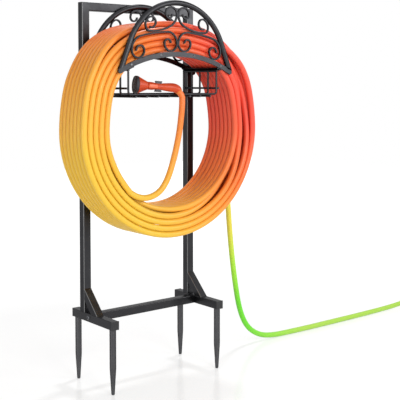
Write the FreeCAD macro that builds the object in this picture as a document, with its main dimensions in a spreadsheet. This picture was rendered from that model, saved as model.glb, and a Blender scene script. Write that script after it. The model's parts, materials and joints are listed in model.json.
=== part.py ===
"""Free-standing hose stand: a spiked tube frame, a scrolled hanger saddle, a wire basket and its hose.

Units are millimetres. +Z is up, the hose side faces -Y, and the origin is on the ground at the middle
of the stand's box. Every driving dimension is a cell of the sheet named Sizes.
"""
import FreeCAD
import Part
import Sketcher
import math
import os
import re

Vector = FreeCAD.Vector
Rotation = FreeCAD.Rotation
Placement = FreeCAD.Placement

doc = FreeCAD.newDocument("hose_stand")
sheet = doc.addObject("Spreadsheet::Sheet", "Sizes")

SIZES = {
    # square tube frame
    "tube": 25,
    "tube_wall": 1.5,
    "tube_corner": 2.5,
    "frame_width": 414,
    "frame_height": 1131,
    "foot_front": 158,
    "foot_rear": 54,
    "cross_bar_ahead": 35,
    "brace_rise": 70,
    "cap_lip": 2,
    "cap_plug": 14,
    "slip_fit": 0.2,
    "weld_gap": 0.2,
    # ground spikes
    "spike_length": 190,
    "spike_dia": 19,
    "spike_taper": 78,
    "spike_tip": 8,
    "spike_inset": 12,
    "stud_dia": 8,
    "stud_length": 12,
    "nut_width": 13,
    "nut_height": 6,
    # bolts
    "bolt_dia": 6,
    "bolt_head_dia": 13,
    "bolt_head_height": 4,
    "bar_plug": 22,
    "upright_bolt_inset": 18,
    # hanger panels
    "panel_reach": 199,
    "arch_rod": 16,
    "arch_radius": 178,
    "arch_drop": 183.2,
    "leg_splay": 22,
    "band_radius": 426,
    "band_drop": 153.4,
    "band_height": 14,
    "band_thick": 4,
    "band_half": 200,
    "scroll_bar": 5,
    # saddle slats
    "inner_slat": 60.5,
    "outer_slat": 162.6,
    "inner_slat_rise": 6.6,
    "outer_slat_rise": -8,
    "slat_width": 16,
    "slat_thick": 2.5,
    "slat_tab": 5,
    "rivet_dia": 4,
    "rivet_head_dia": 9,
    "rivet_head_height": 2.2,
    # wire basket
    "wire": 6,
    "basket_half": 161.5,
    "basket_front": 181.5,
    "basket_rear": 9.4,
    "basket_depth": 69.5,
    "basket_mid_drop": 52,
    "hoop_corner": 9,
    "floor_wire_pitch": 39,
    # hose and its coil
    "hose_dia": 17.2,
    "coil_drop": 219.6,
    "coil_front": 182,
    "outer_layer": 309,
    "layer_pitch": 18.25,
    "turn_pitch": 19.2,
    "inner_ease": 5,
    "crown_shift": 140,
    "shoulder_bulge": 17,
    # spray nozzle, measured along its own axis from the valve
    "grip_radius": 11.3,
    "grip_waist": 10,
    "grip_tail": 45,
    "neck_end": 32,
    "tail_bend": 24,
    "tail_radius": 12.2,
    "tail_turn": 46,
    "ferrule_length": 5,
    "shroud_radius": 25,
    "shroud_end": 62,
    "bumper_radius": 26,
    "bumper_length": 10.3,
    "bumper_wall": 4,
    "face_thick": 7.7,
    "dial_spindle": 5,
    "spindle_seat": 14,
    "valve_radius": 5,
    "valve_travel": 2,
    "valve_pad": 3.5,
    "valve_pad_length": 20,
    "panel_length": 27,
    "panel_height": 11,
    "running_fit": 0.05,
    "part_gap": 0.3,
    # tap connector on the far end of the hose
    "connector_height": 15.3,
    "sleeve_length": 24,
    "sleeve_wall": 2,
    "stem_flange": 11.5,
    "stem_neck": 8,
    "stem_neck_length": 9,
    "stem_collar": 11,
    "nut_radius": 15,
    "nut_thread": 13.2,
    "nut_thread_length": 9,
    "washer_thick": 2.5,
}

SIDES = (("left", -1), ("right", 1))
HOOPS = 5
FLOOR_WIRES = 8
TURNS = 8
LAYERS = 5
HOSE_SIDES = 8
WIRE_SIDES = 8
ARCH_SIDES = 12
BOLT_SIDES = 6
RIVET_SIDES = 8
TAIL_SIDES = 16
FACE_HOLES = 8

for row, (alias, number) in enumerate(SIZES.items(), start=1):
    sheet.set(f"A{row}", alias)
    sheet.set(f"B{row}", str(number))
    sheet.setAlias(f"B{row}", alias)
doc.recompute()


class Values:
    """The sheet's cells as plain numbers, for the swept shapes."""

    def __getattr__(self, alias):
        return float(sheet.get(alias))


size = Values()
NAMES = re.compile(r"\b(" + "|".join(SIZES) + r")\b")

# places that several pieces share, as sheet expressions
FRONT_REACH = "(panel_reach + arch_rod / 2)"
REAR_REACH = "(foot_rear + cap_lip)"
UPRIGHT_Y = f"(({FRONT_REACH} - {REAR_REACH}) / 2)"
UPRIGHT_X = "(frame_width / 2 - tube / 2)"
FOOT_TOP = "(spike_length + tube)"
FRONT_PANEL_Y = f"({UPRIGHT_Y} - panel_reach)"
REAR_PANEL_Y = f"({UPRIGHT_Y} - tube / 2 - weld_gap - arch_rod / 2)"
ARCH_CENTRE = "(frame_height - arch_drop)"
BAND_CENTRE = "(frame_height - band_drop - band_radius)"
CROSS_BAR_Y = f"({UPRIGHT_Y} - cross_bar_ahead)"
# the basket's rim lies under the outer slats, which lean with the band
SLAT_LEVEL = "sqrt(band_radius * band_radius - outer_slat * outer_slat)"
BASKET_RIM = (f"({BAND_CENTRE} + {SLAT_LEVEL} - (slat_thick - outer_slat_rise + wire / 2 + weld_gap)"
              f" * band_radius / {SLAT_LEVEL} - (basket_half - outer_slat) * outer_slat / {SLAT_LEVEL})")
BASKET_MID = f"({BASKET_RIM} - basket_mid_drop)"
BASKET_FLOOR = f"({BASKET_RIM} - basket_depth)"

# the same places as numbers
upright_y = (size.panel_reach + size.arch_rod / 2 - size.foot_rear - size.cap_lip) / 2
front_panel_y = upright_y - size.panel_reach
rear_panel_y = upright_y - size.tube / 2 - size.weld_gap - size.arch_rod / 2
arch_centre = size.frame_height - size.arch_drop
band_centre = size.frame_height - size.band_drop - size.band_radius
slat_level = math.sqrt(size.band_radius ** 2 - size.outer_slat ** 2)
basket_rim = band_centre + slat_level - (
    (size.slat_thick - size.outer_slat_rise + size.wire / 2 + size.weld_gap) * size.band_radius
    + (size.basket_half - size.outer_slat) * size.outer_slat) / slat_level
basket_floor = basket_rim - size.basket_depth
coil_centre = size.frame_height - size.band_drop - size.coil_drop
splay = math.radians(size.leg_splay)

nodes = []


def bound(text):
    """A sheet expression from the plain names of sizes."""
    return NAMES.sub(r"Sizes.\1", str(text))


def bind(thing, **sizes):
    for name, text in sizes.items():
        path = f"Placement.Base.{name}" if name in ("x", "y", "z") else name
        thing.setExpression(path, bound(text))


def node(thing, label):
    """Name a finished piece; the label is also its file's name."""
    thing.Label = label
    nodes.append(thing)
    return thing


def box(name, x, y, z, length, width, height):
    block = doc.addObject("Part::Box", name)
    bind(block, Length=length, Width=width, Height=height, x=x, y=y, z=z)
    return block


ALONG = {
    "x": Rotation(Vector(0, 1, 0), 90),
    "y": Rotation(Vector(1, 0, 0), -90),
    "z": Rotation(),
}


def cylinder(name, axis, x, y, z, radius, length):
    """A round bar that starts at a point and runs along +X, +Y or +Z."""
    bar = doc.addObject("Part::Cylinder", name)
    bar.Placement = Placement(Vector(), ALONG[axis])
    bind(bar, Radius=radius, Height=length, x=x, y=y, z=z)
    return bar


def prism(name, sides, turn, x, y, z, reach, height):
    """A bar of regular polygon section; reach is from its axis to a corner."""
    bar = doc.addObject("Part::Prism", name)
    bar.Polygon = sides
    bar.Placement = Placement(Vector(), turn)
    bind(bar, Circumradius=reach, Height=height, x=x, y=y, z=z)
    return bar


def fuse(name, *pieces):
    joined = doc.addObject("Part::MultiFuse", name)
    joined.Shapes = list(pieces)
    return joined


def cut(name, base, *tools):
    result = doc.addObject("Part::Cut", name)
    result.Base = base
    result.Tool = tools[0] if len(tools) == 1 else fuse(name + "_tools", *tools)
    return result


def group(name, pieces):
    together = doc.addObject("Part::Compound", name)
    together.Links = list(pieces)
    return together


def solid(name, shape):
    feature = doc.addObject("Part::Feature", name)
    feature.Shape = shape
    return feature


def outline(body, name, role, corners):
    """A closed sketch of straight lines whose corners are all bound to the sheet."""
    plane = next(item for item in body.Origin.OriginFeatures if item.Role == role)
    sketch = body.newObject("Sketcher::SketchObject", name)
    sketch.AttachmentSupport = [(plane, "")]
    sketch.MapMode = "FlatFace"
    count = len(corners)
    ring = [Vector(math.cos(step), math.sin(step), 0) for step in
            (2 * math.pi * index / count for index in range(count))]
    for index in range(count):
        sketch.addGeometry(Part.LineSegment(ring[index], ring[(index + 1) % count]), False)
    for index in range(count):
        sketch.addConstraint(Sketcher.Constraint("Coincident", index, 2, (index + 1) % count, 1))
    for index, corner in enumerate(corners):
        for kind, axis, text in zip(("DistanceX", "DistanceY"), (-2, -1), corner):
            if str(text) == "0":
                sketch.addConstraint(Sketcher.Constraint("PointOnObject", index, 1, axis))
                continue
            place = sketch.addConstraint(Sketcher.Constraint(kind, -1, 1, index, 1, 1.0))
            sketch.setExpression(f"Constraints[{place}]", bound(text))
    return sketch


def padded(name, role, corners, length):
    """A straight extrusion, half to each side of its sketch plane."""
    body = doc.addObject("PartDesign::Body", name)
    sketch = outline(body, name + "_outline", role, corners)
    pad = body.newObject("PartDesign::Pad", name + "_pad")
    pad.Profile = sketch
    pad.Midplane = True
    pad.setExpression("Length", bound(length))
    return body


def rounded(body, name, radius, along):
    """Round the edges of a body that run along a direction."""
    doc.recompute()
    base = body.Tip
    edges = []
    for number, edge in enumerate(base.Shape.Edges, start=1):
        if abs(edge.tangentAt(edge.FirstParameter).dot(along)) > 0.999:
            edges.append(f"Edge{number}")
    fillet = body.newObject("PartDesign::Fillet", name)
    fillet.Base = (base, edges)
    fillet.setExpression("Radius", bound(radius))
    body.Tip = fillet
    return body


def pocketed(body, name, role, corners, length):
    """Cut a straight extrusion out of a body, half to each side of its sketch plane."""
    sketch = outline(body, name + "_outline", role, corners)
    doc.recompute()
    pocket = body.newObject("PartDesign::Pocket", name)
    pocket.Profile = sketch
    pocket.Midplane = True
    pocket.setExpression("Length", bound(length))
    body.Tip = pocket
    return body


def turned(name, corners):
    """A piece turned about its own Z axis; each corner is (radius, height)."""
    body = doc.addObject("PartDesign::Body", name)
    sketch = outline(body, name + "_profile", "XZ_Plane", corners)
    turn = body.newObject("PartDesign::Revolution", name + "_turn")
    turn.Profile = sketch
    turn.ReferenceAxis = (sketch, ["V_Axis"])
    turn.Angle = 360
    return body


def arc_from(start, tangent, end):
    """The arc that leaves start along tangent and reaches end."""
    chord = end - start
    half = chord.Length / 2
    along = Vector(chord).normalize()
    side = tangent - along * tangent.dot(along)
    if side.Length < 1e-6:
        return Part.LineSegment(start, end)
    lean = math.acos(max(-1.0, min(1.0, tangent.dot(along))))
    middle = (start + end) / 2 + side.normalize() * (half * math.tan(lean / 2))
    return Part.Arc(start, middle, end)


def biarc(start, tangent, end, end_tangent):
    """Two arcs that join two points and keep both directions."""
    span = end - start
    both = tangent + end_tangent
    bend = 2 * (1 - tangent.dot(end_tangent))
    reach = span.dot(both)
    if bend < 1e-9:
        handle = span.dot(span) / (2 * reach)
    else:
        handle = (math.sqrt(reach * reach + bend * span.dot(span)) - reach) / bend
    joint = (start + end + (tangent - end_tangent) * handle) / 2
    first = arc_from(start, tangent, joint)
    second = arc_from(end, end_tangent * -1, joint)
    return [first.toShape(), second.toShape()]


def rounded_path(points, radius_at):
    """Straight runs joined by tangent arcs; radius_at gives each corner's radius."""
    edges = []
    last = points[0]
    for before, here, after in zip(points, points[1:], points[2:]):
        back = (before - here).normalize()
        ahead = (after - here).normalize()
        half = back.getAngle(ahead) / 2
        radius = radius_at(here, min((here - before).Length, (after - here).Length), math.pi - 2 * half)
        trim = radius / math.tan(half)
        start = here + back * trim
        end = here + ahead * trim
        if (start - last).Length > 1e-4:
            edges.append(Part.LineSegment(last, start).toShape())
        edges.append(arc_from(start, back * -1, end).toShape())
        last = end
    edges.append(Part.LineSegment(last, points[-1]).toShape())
    return Part.Wire(edges)


def start_of(path):
    edge = path.OrderedEdges[0]
    return edge.valueAt(edge.FirstParameter), edge.tangentAt(edge.FirstParameter)


def faceted_rod(path, reach, sides, first_corner):
    """A bar of regular polygon section along a path; reach is from its line to a corner."""
    place, direction = start_of(path)
    across = first_corner - direction * first_corner.dot(direction)
    across.normalize()
    up = direction.cross(across)
    corners = []
    for index in range(sides + 1):
        turn = 2 * math.pi * (index + 0.5) / sides
        corners.append(place + (across * math.cos(turn) + up * math.sin(turn)) * reach)
    return path.makePipeShell([Part.makePolygon(corners)], True, False)


# Frame: two mitred uprights and a top bar
def mitred_frame():
    inside = "tube - 2 * tube_wall"
    for side, sign in SIDES:
        outer = f"({sign} * frame_width / 2)"
        inner = f"({sign} * (frame_width / 2 - tube))"
        body = padded(f"{side}_post", "XZ_Plane", [
            (inner, FOOT_TOP), (outer, FOOT_TOP), (outer, "frame_height"), (inner, "frame_height - tube"),
        ], "tube")
        rounded(body, f"{side}_post_corners", "tube_corner", Vector(0, 0, 1))
        near = f"({sign} * (frame_width / 2 - tube_wall))"
        far = f"({sign} * (frame_width / 2 - tube + tube_wall))"
        pocketed(body, f"{side}_post_bore", "XZ_Plane", [
            (far, FOOT_TOP), (near, FOOT_TOP), (near, "frame_height - tube_wall"),
            (far, "frame_height - tube + tube_wall"),
        ], inside)
        bind(body, y=UPRIGHT_Y)
        hole = cylinder(f"{side}_post_hole", "y", f"{sign} * {LEG_BOLT_X}", f"{UPRIGHT_Y} - tube", LEG_BOLT_Z,
                        "bolt_dia / 2 + slip_fit", "2 * tube")
        node(cut(f"{side}_upright_cut", body, hole), f"{side}_upright")
    half = "frame_width / 2"
    bar = padded("top_tube", "XZ_Plane", [
        (f"-({half})", "frame_height"), (half, "frame_height"),
        (f"{half} - tube", "frame_height - tube"), (f"-({half} - tube)", "frame_height - tube"),
    ], "tube")
    rounded(bar, "top_tube_corners", "tube_corner", Vector(1, 0, 0))
    pocketed(bar, "top_tube_bore", "XZ_Plane", [
        (f"-({half} - tube_wall)", "frame_height - tube_wall"), (f"{half} - tube_wall", "frame_height - tube_wall"),
        (f"{half} - tube + tube_wall", "frame_height - tube + tube_wall"),
        (f"-({half} - tube + tube_wall)", "frame_height - tube + tube_wall"),
    ], inside)
    bind(bar, y=UPRIGHT_Y)
    holes = [
        cylinder(f"{side}_top_hole", "y", f"{sign} * {TOP_BOLT_X}", f"{UPRIGHT_Y} - tube", TOP_BOLT_Z,
                 "bolt_dia / 2 + slip_fit", "2 * tube")
        for side, sign in SIDES
    ]
    node(cut("top_bar_cut", bar, *holes), "top_bar")


# the hanger bolts lie where the rear arch crosses the frame
LEG_BOLT_X = "(frame_width / 2 - upright_bolt_inset)"
LEG_BOLT_Z = (f"({ARCH_CENTRE} + arch_radius * sin(leg_splay * 1 deg)"
              f" - ({LEG_BOLT_X} - arch_radius * cos(leg_splay * 1 deg)) / tan(leg_splay * 1 deg))")
TOP_BOLT_Z = "(frame_height - tube / 2)"
TOP_BOLT_X = "sqrt(arch_radius * arch_radius - (arch_drop - tube / 2) * (arch_drop - tube / 2))"


def square_tube(name, role, length, along):
    """A straight hollow square tube with rounded corners, centred on its own origin."""
    half = "tube / 2"
    bore = "(tube / 2 - tube_wall)"
    ring = ((-1, -1), (1, -1), (1, 1), (-1, 1))
    body = padded(name, role, [(f"{a} * {half}", f"{b} * {half}") for a, b in ring], length)
    rounded(body, name + "_corners", "tube_corner", along)
    return pocketed(body, name + "_bore", role, [(f"{a} * {bore}", f"{b} * {bore}") for a, b in ring],
                    f"{length} + 2 * tube")


def feet():
    """Two front-to-back tubes with stud holes below and the cross bar's bolt holes."""
    for side, sign in SIDES:
        left = f"{sign} * {UPRIGHT_X} - tube / 2"
        length = "foot_front + foot_rear"
        outer = square_tube(f"{side}_foot_tube", "XZ_Plane", length, Vector(0, 1, 0))
        bind(outer, x=f"{sign} * {UPRIGHT_X}", y=f"{UPRIGHT_Y} - (foot_front - foot_rear) / 2",
             z="spike_length + tube / 2")
        tools = []
        for end, place in (("front", FRONT_SPIKE_Y), ("rear", REAR_SPIKE_Y)):
            tools.append(cylinder(f"{side}_{end}_stud_hole", "z", f"{sign} * {UPRIGHT_X}", place,
                                  "spike_length - tube_wall", "stud_dia / 2 + slip_fit", "3 * tube_wall"))
        tools.append(cylinder(f"{side}_foot_bolt_hole", "x", f"{left} - tube_wall", CROSS_BAR_Y,
                              "spike_length + tube / 2", "bolt_dia / 2 + slip_fit", "tube + 2 * tube_wall"))
        node(cut(f"{side}_foot_cut", outer, *tools), f"{side}_foot")


FRONT_SPIKE_Y = f"({UPRIGHT_Y} - foot_front + spike_inset)"
REAR_SPIKE_Y = f"({UPRIGHT_Y} + foot_rear - spike_inset)"


def cross_bar():
    inner_half = "(frame_width / 2 - tube)"
    bar = square_tube("cross_bar_tube", "YZ_Plane", f"2 * {inner_half}", Vector(1, 0, 0))
    bind(bar, y=CROSS_BAR_Y, z="spike_length + tube / 2")
    node(bar, "cross_bar")
    plugs = []
    bolts = []
    wide = "(tube - 2 * tube_wall - 2 * slip_fit)"
    middle = "spike_length + tube / 2"
    for side, sign in SIDES:
        start = f"-{inner_half}" if sign < 0 else f"{inner_half} - bar_plug"
        block = box(f"{side}_plug_block", start, f"{CROSS_BAR_Y} - {wide} / 2", f"{middle} - {wide} / 2",
                    "bar_plug", wide, wide)
        thread = cylinder(f"{side}_plug_thread", "x", start, CROSS_BAR_Y, middle,
                          "bolt_dia / 2 + slip_fit", "bar_plug")
        plugs.append(cut(f"{side}_plug", block, thread))
        shank_start = "-frame_width / 2" if sign < 0 else f"{inner_half} - bar_plug / 2"
        shank = cylinder(f"{side}_bar_shank", "x", shank_start, CROSS_BAR_Y, middle,
                         "bolt_dia / 2", "tube + bar_plug / 2")
        head = prism(f"{side}_bar_head", BOLT_SIDES, Rotation(Vector(0, 1, 0), sign * 90),
                     f"{sign} * frame_width / 2", CROSS_BAR_Y, middle, "bolt_head_dia / 2", "bolt_head_height")
        bolts.append(fuse(f"{side}_bar_bolt", shank, head))
    node(group("bar_plug_pair", plugs), "cross_bar_plugs")
    node(group("bar_bolt_pair", bolts), "cross_bar_bolts")


def braces():
    """A tube at 45 degrees from the front of each upright to the top of its foot."""
    across = "tube * sqrt(2)"
    skin = "tube_wall * sqrt(2)"
    for side, sign in SIDES:
        body = padded(f"{side}_strut", "YZ_Plane", [
            ("-tube / 2", f"{FOOT_TOP} + brace_rise"), ("-tube / 2", f"{FOOT_TOP} + brace_rise - {across}"),
            (f"-(tube / 2 + brace_rise - {across})", FOOT_TOP), ("-(tube / 2 + brace_rise)", FOOT_TOP),
        ], "tube")
        rounded(body, f"{side}_strut_corners", "tube_corner", Vector(0, 1, 1).normalize())
        pocketed(body, f"{side}_strut_bore", "YZ_Plane", [
            ("-tube / 2", f"{FOOT_TOP} + brace_rise - {skin}"),
            ("-tube / 2", f"{FOOT_TOP} + brace_rise - {across} + {skin}"),
            (f"-(tube / 2 + brace_rise - {across} + {skin})", FOOT_TOP),
            (f"-(tube / 2 + brace_rise - {skin})", FOOT_TOP),
        ], "tube - 2 * tube_wall")
        bind(body, x=f"{sign} * {UPRIGHT_X}", y=UPRIGHT_Y)
        node(body, f"{side}_brace")


def end_caps():
    """Plastic plugs with a square lip in both ends of both feet."""
    wide = "(tube - 2 * tube_wall - 2 * slip_fit)"
    middle = "spike_length + tube / 2"
    caps = []
    for side, sign in SIDES:
        centre = f"{sign} * {UPRIGHT_X}"
        for end, lip, plug in (
            ("front", f"{UPRIGHT_Y} - foot_front - cap_lip", f"{UPRIGHT_Y} - foot_front"),
            ("rear", f"{UPRIGHT_Y} + foot_rear", f"{UPRIGHT_Y} + foot_rear - cap_plug"),
        ):
            name = f"{side}_{end}_cap"
            flange = box(name + "_lip", f"{centre} - tube / 2", lip, "spike_length", "tube", "cap_lip", "tube")
            block = box(name + "_block", f"{centre} - {wide} / 2", plug, f"{middle} - {wide} / 2",
                        wide, "cap_plug", wide)
            notch = cylinder(name + "_notch", "z", centre,
                             FRONT_SPIKE_Y if end == "front" else REAR_SPIKE_Y,
                             "spike_length", "nut_width * 0.62", "tube")
            caps.append(fuse(name, flange, cut(name + "_plug", block, notch)))
    node(group("caps", caps), "foot_end_caps")


def spikes():
    nuts = []
    for side, sign in SIDES:
        for end, place in (("front", FRONT_SPIKE_Y), ("rear", REAR_SPIKE_Y)):
            body = turned(f"{end}_{side}_stake", [
                ("0", "0"), ("spike_tip / 2", "0"), ("spike_tip / 2 + 1", "2"),
                ("spike_dia / 2", "spike_taper"), ("spike_dia / 2", "spike_length"),
                ("stud_dia / 2", "spike_length"), ("stud_dia / 2", "spike_length + stud_length"),
                ("0", "spike_length + stud_length"),
            ])
            bind(body, x=f"{sign} * {UPRIGHT_X}", y=place)
            node(body, f"{end}_{side}_spike")
            block = prism(f"{end}_{side}_nut_block", BOLT_SIDES, ALONG["z"], f"{sign} * {UPRIGHT_X}", place,
                          "spike_length + tube_wall", "nut_width / sqrt(3)", "nut_height")
            thread = cylinder(f"{end}_{side}_nut_thread", "z", f"{sign} * {UPRIGHT_X}", place,
                              "spike_length", "stud_dia / 2 + slip_fit", "tube")
            nuts.append(cut(f"{end}_{side}_nut", block, thread))
    node(group("nuts", nuts), "spike_nuts")


# Hanger: front and rear panels of arch, band and scrolls
def arch_path(y):
    """A round top with legs that splay outwards, tangent to it."""
    side = Vector(math.cos(splay), 0, math.sin(splay)) * size.arch_radius
    drop = side.z + arch_centre - band_centre - math.sqrt(
        size.band_radius ** 2 - size.band_half ** 2) + size.band_height
    foot = side + Vector(math.tan(splay), 0, -1) * drop
    middle = Vector(0, y, arch_centre)
    mirror = (Vector(-1, 1, 1), Vector(1, 1, 1))
    right_foot, right = (middle + Vector(p.x * mirror[1].x, 0, p.z) for p in (foot, side))
    left_foot, left = (middle + Vector(p.x * mirror[0].x, 0, p.z) for p in (foot, side))
    top = middle + Vector(0, 0, size.arch_radius)
    return Part.Wire([
        Part.LineSegment(left_foot, left).toShape(),
        Part.Arc(left, top, right).toShape(),
        Part.LineSegment(right, right_foot).toShape(),
    ])


def scroll_path(start, heading, turn, arcs):
    """A chain of tangent arcs, each (radius, sweep); turn is 1 to the left and -1 to the right."""
    edges = []
    place = start
    angle = math.radians(heading)
    for radius, sweep in arcs:
        centre = place + Vector(-math.sin(angle), 0, math.cos(angle)) * (turn * radius)
        spoke = place - centre
        swing = math.radians(sweep) * turn
        points = []
        for share in (0.5, 1.0):
            part = swing * share
            points.append(centre + Vector(spoke.x * math.cos(part) - spoke.z * math.sin(part), 0,
                                          spoke.x * math.sin(part) + spoke.z * math.cos(part)))
        edges.append(Part.Arc(place, points[0], points[1]).toShape())
        place = points[1]
        angle += swing
    return Part.Wire(edges)


# each scroll from its eye near the middle to its eye at the side: (radius, sweep) of its arcs
UPPER_SCROLL = ((12, 180), (20, 180), (38, 63), (156, 30), (11, 62), (24, 93), (15, 225))
LOWER_SCROLL = ((11.5, 180), (22.5, 180), (32.5, 93), (470, 11.5), (42, 75.5))
# the lower scroll's last arcs, as shares of the radius at which it rests on the band
LOWER_CURL = ((1, 180), (0.64, 190))
# the arcs are drawn for a window this high, under an arch of this inner radius
SCROLL_WINDOW = 133.2
SCROLL_ARCH = 170


def scrolls(y):
    """Two upper scrolls that hang from the arch and two lower ones that stand on the band."""
    arch_inner = size.arch_radius - size.arch_rod / 2
    band_outer = size.band_radius + size.band_height / 2
    window = arch_centre + arch_inner - band_centre - band_outer
    share = min(window / SCROLL_WINDOW, arch_inner / SCROLL_ARCH)
    seat = size.weld_gap + size.scroll_bar / 2
    corner = size.scroll_bar / math.sqrt(2)

    arcs = [(radius * share, sweep) for radius, sweep in UPPER_SCROLL]
    reach = arcs[1][0]
    across = reach + seat
    rise = math.sqrt((arch_inner - seat - reach) ** 2 - across ** 2)
    start = Vector(2 * arcs[0][0] - reach - across, y, arch_centre + rise)
    upper = faceted_rod(scroll_path(start, -90, -1, arcs), corner, 4, Vector(0, 1, 0))

    arcs = [(radius * share, sweep) for radius, sweep in LOWER_SCROLL]
    reach = arcs[1][0]
    across = reach + seat
    rise = math.sqrt((band_outer + seat + reach) ** 2 - across ** 2)
    start = Vector(2 * arcs[0][0] - reach - across, y, band_centre + rise)
    side = scroll_path(start, 90, 1, arcs).OrderedVertexes[-1].Point
    height = side.z - band_centre
    rest = band_outer + seat
    curl = (side.x ** 2 + height ** 2 - rest ** 2) / (2 * (rest - side.x))
    arcs += [(curl * radius, sweep) for radius, sweep in LOWER_CURL]
    lower = faceted_rod(scroll_path(start, 90, 1, arcs), corner, 4, Vector(0, 1, 0))

    halves = [upper, lower]
    halves += [half.mirror(Vector(), Vector(1, 0, 0)) for half in (upper, lower)]
    return Part.makeCompound(halves)


def panels():
    for panel, place, y in (("front", FRONT_PANEL_Y, front_panel_y), ("rear", REAR_PANEL_Y, rear_panel_y)):
        bent = solid(f"{panel}_arch_rod", faceted_rod(arch_path(y), size.arch_rod / 2, ARCH_SIDES, Vector(0, 1, 0)))
        tools = [cylinder(f"{panel}_arch_trim", "y", "0", f"{place} - arch_rod", BAND_CENTRE,
                          "band_radius + band_height / 2 + weld_gap", "2 * arch_rod")]
        if panel == "rear":
            for side, sign in SIDES:
                for spot, x, z in (("leg", LEG_BOLT_X, LEG_BOLT_Z), ("top", TOP_BOLT_X, TOP_BOLT_Z)):
                    tools.append(cylinder(f"{side}_{spot}_thread", "y", f"{sign} * {x}", f"{place} - arch_rod / 4",
                                          z, "bolt_dia / 2 + slip_fit", "arch_rod"))
        node(cut(f"{panel}_arch_cut", bent, *tools), f"{panel}_arch")
        back = f"{place} - band_thick / 2"
        ring = cut(f"{panel}_ring",
                   cylinder(f"{panel}_ring_outer", "y", "0", back, BAND_CENTRE,
                            "band_radius + band_height / 2", "band_thick"),
                   cylinder(f"{panel}_ring_inner", "y", "0", back, BAND_CENTRE,
                            "band_radius - band_height / 2", "band_thick"))
        window = box(f"{panel}_band_window", "-band_half", back, BAND_CENTRE, "2 * band_half", "band_thick",
                     "band_radius + band_height")
        strip = doc.addObject("Part::Common", f"{panel}_strip")
        strip.Base = ring
        strip.Tool = window
        tips = [
            cylinder(f"{panel}_{side}_tip", "y", f"{sign} * band_half", back,
                     f"{BAND_CENTRE} + sqrt(band_radius * band_radius - band_half * band_half)",
                     "band_height / 2", "band_thick")
            for side, sign in SIDES
        ]
        holes = [
            cylinder(f"{panel}_{name}_hole", "y", f"{sign} * {x}", f"{place} - band_thick",
                     f"{BAND_CENTRE} + sqrt(band_radius * band_radius - {x} * {x})",
                     "rivet_dia / 2 + slip_fit / 2", "2 * band_thick")
            for name, sign, x in SLATS
        ]
        node(cut(f"{panel}_band_cut", fuse(f"{panel}_band_blank", strip, *tips), *holes), f"{panel}_band")
        node(solid(f"{panel}_scroll_set", scrolls(y)), f"{panel}_scrolls")


SLATS = (
    ("outer_left", -1, "outer_slat"), ("inner_left", -1, "inner_slat"),
    ("inner_right", 1, "inner_slat"), ("outer_right", 1, "outer_slat"),
)


def slats():
    """Flat strips from band to band with upright end tabs, riveted to both bands."""
    front = f"({FRONT_PANEL_Y} + band_thick / 2)"
    rear = f"({REAR_PANEL_Y} - band_thick / 2)"
    rivets = []
    for name, sign, x in SLATS:
        rise = f"{x}_rise"
        low = f"min({rise} - slat_thick; -slat_tab)"
        tall = f"max({rise}; slat_tab) - {low}"
        strip = box(f"{name}_strip", "-slat_width / 2", front, f"{rise} - slat_thick", "slat_width",
                    f"{rear} - {front}", "slat_thick")
        tabs = [
            box(f"{name}_front_tab", "-slat_width / 2", front, low, "slat_width", "slat_thick", tall),
            box(f"{name}_rear_tab", "-slat_width / 2", f"{rear} - slat_thick", low, "slat_width", "slat_thick", tall),
        ]
        hole = cylinder(f"{name}_slat_hole", "y", "0", f"{front} - band_thick", "0",
                        "rivet_dia / 2 + slip_fit / 2", f"{rear} - {front} + 2 * band_thick")
        slat = cut(f"{name}_slat_cut", fuse(f"{name}_slat_blank", strip, *tabs), hole)
        slat.Placement = Placement(Vector(), Rotation(Vector(0, 1, 0), sign * 10))
        height = f"{BAND_CENTRE} + sqrt(band_radius * band_radius - {x} * {x})"
        bind(slat, x=f"{sign} * {x}", z=height)
        slat.setExpression("Placement.Rotation.Angle", bound(f"asin({x} / band_radius)"))
        slat.setExpression("Placement.Rotation.Axis.y", str(sign))
        node(slat, f"{name}_slat")
        for end, face, out in (("front", f"{front} - band_thick", -1), ("rear", f"{rear} + band_thick", 1)):
            shank_start = face if out < 0 else f"{face} - band_thick - slat_thick - 0.6"
            shank = prism(f"{name}_{end}_shank", RIVET_SIDES, ALONG["y"], f"{sign} * {x}", shank_start, height,
                          "rivet_dia / 2", "band_thick + slat_thick + 0.6")
            head = prism(f"{name}_{end}_head", RIVET_SIDES, Rotation(Vector(1, 0, 0), -90 * out), f"{sign} * {x}",
                         face, height, "rivet_head_dia / 2", "rivet_head_height")
            rivets.append(fuse(f"{name}_{end}_rivet", shank, head))
    node(group("rivets", rivets), "slat_rivets")


def hanger_bolts():
    """Bolts through the frame tubes into the rear arch."""
    bolts = []
    back = f"({UPRIGHT_Y} + tube / 2)"
    for side, sign in SIDES:
        for spot, x, z in (("leg", LEG_BOLT_X, LEG_BOLT_Z), ("top", TOP_BOLT_X, TOP_BOLT_Z)):
            name = f"{side}_{spot}"
            shank = cylinder(name + "_shank", "y", f"{sign} * {x}", REAR_PANEL_Y, z, "bolt_dia / 2",
                             f"{back} - {REAR_PANEL_Y}")
            head = prism(name + "_head", BOLT_SIDES, ALONG["y"], f"{sign} * {x}", back, z,
                         "bolt_head_dia / 2", "bolt_head_height")
            bolts.append(fuse(name + "_bolt", shank, head))
    node(group("frame_bolts", bolts), "hanger_bolts")


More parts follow.
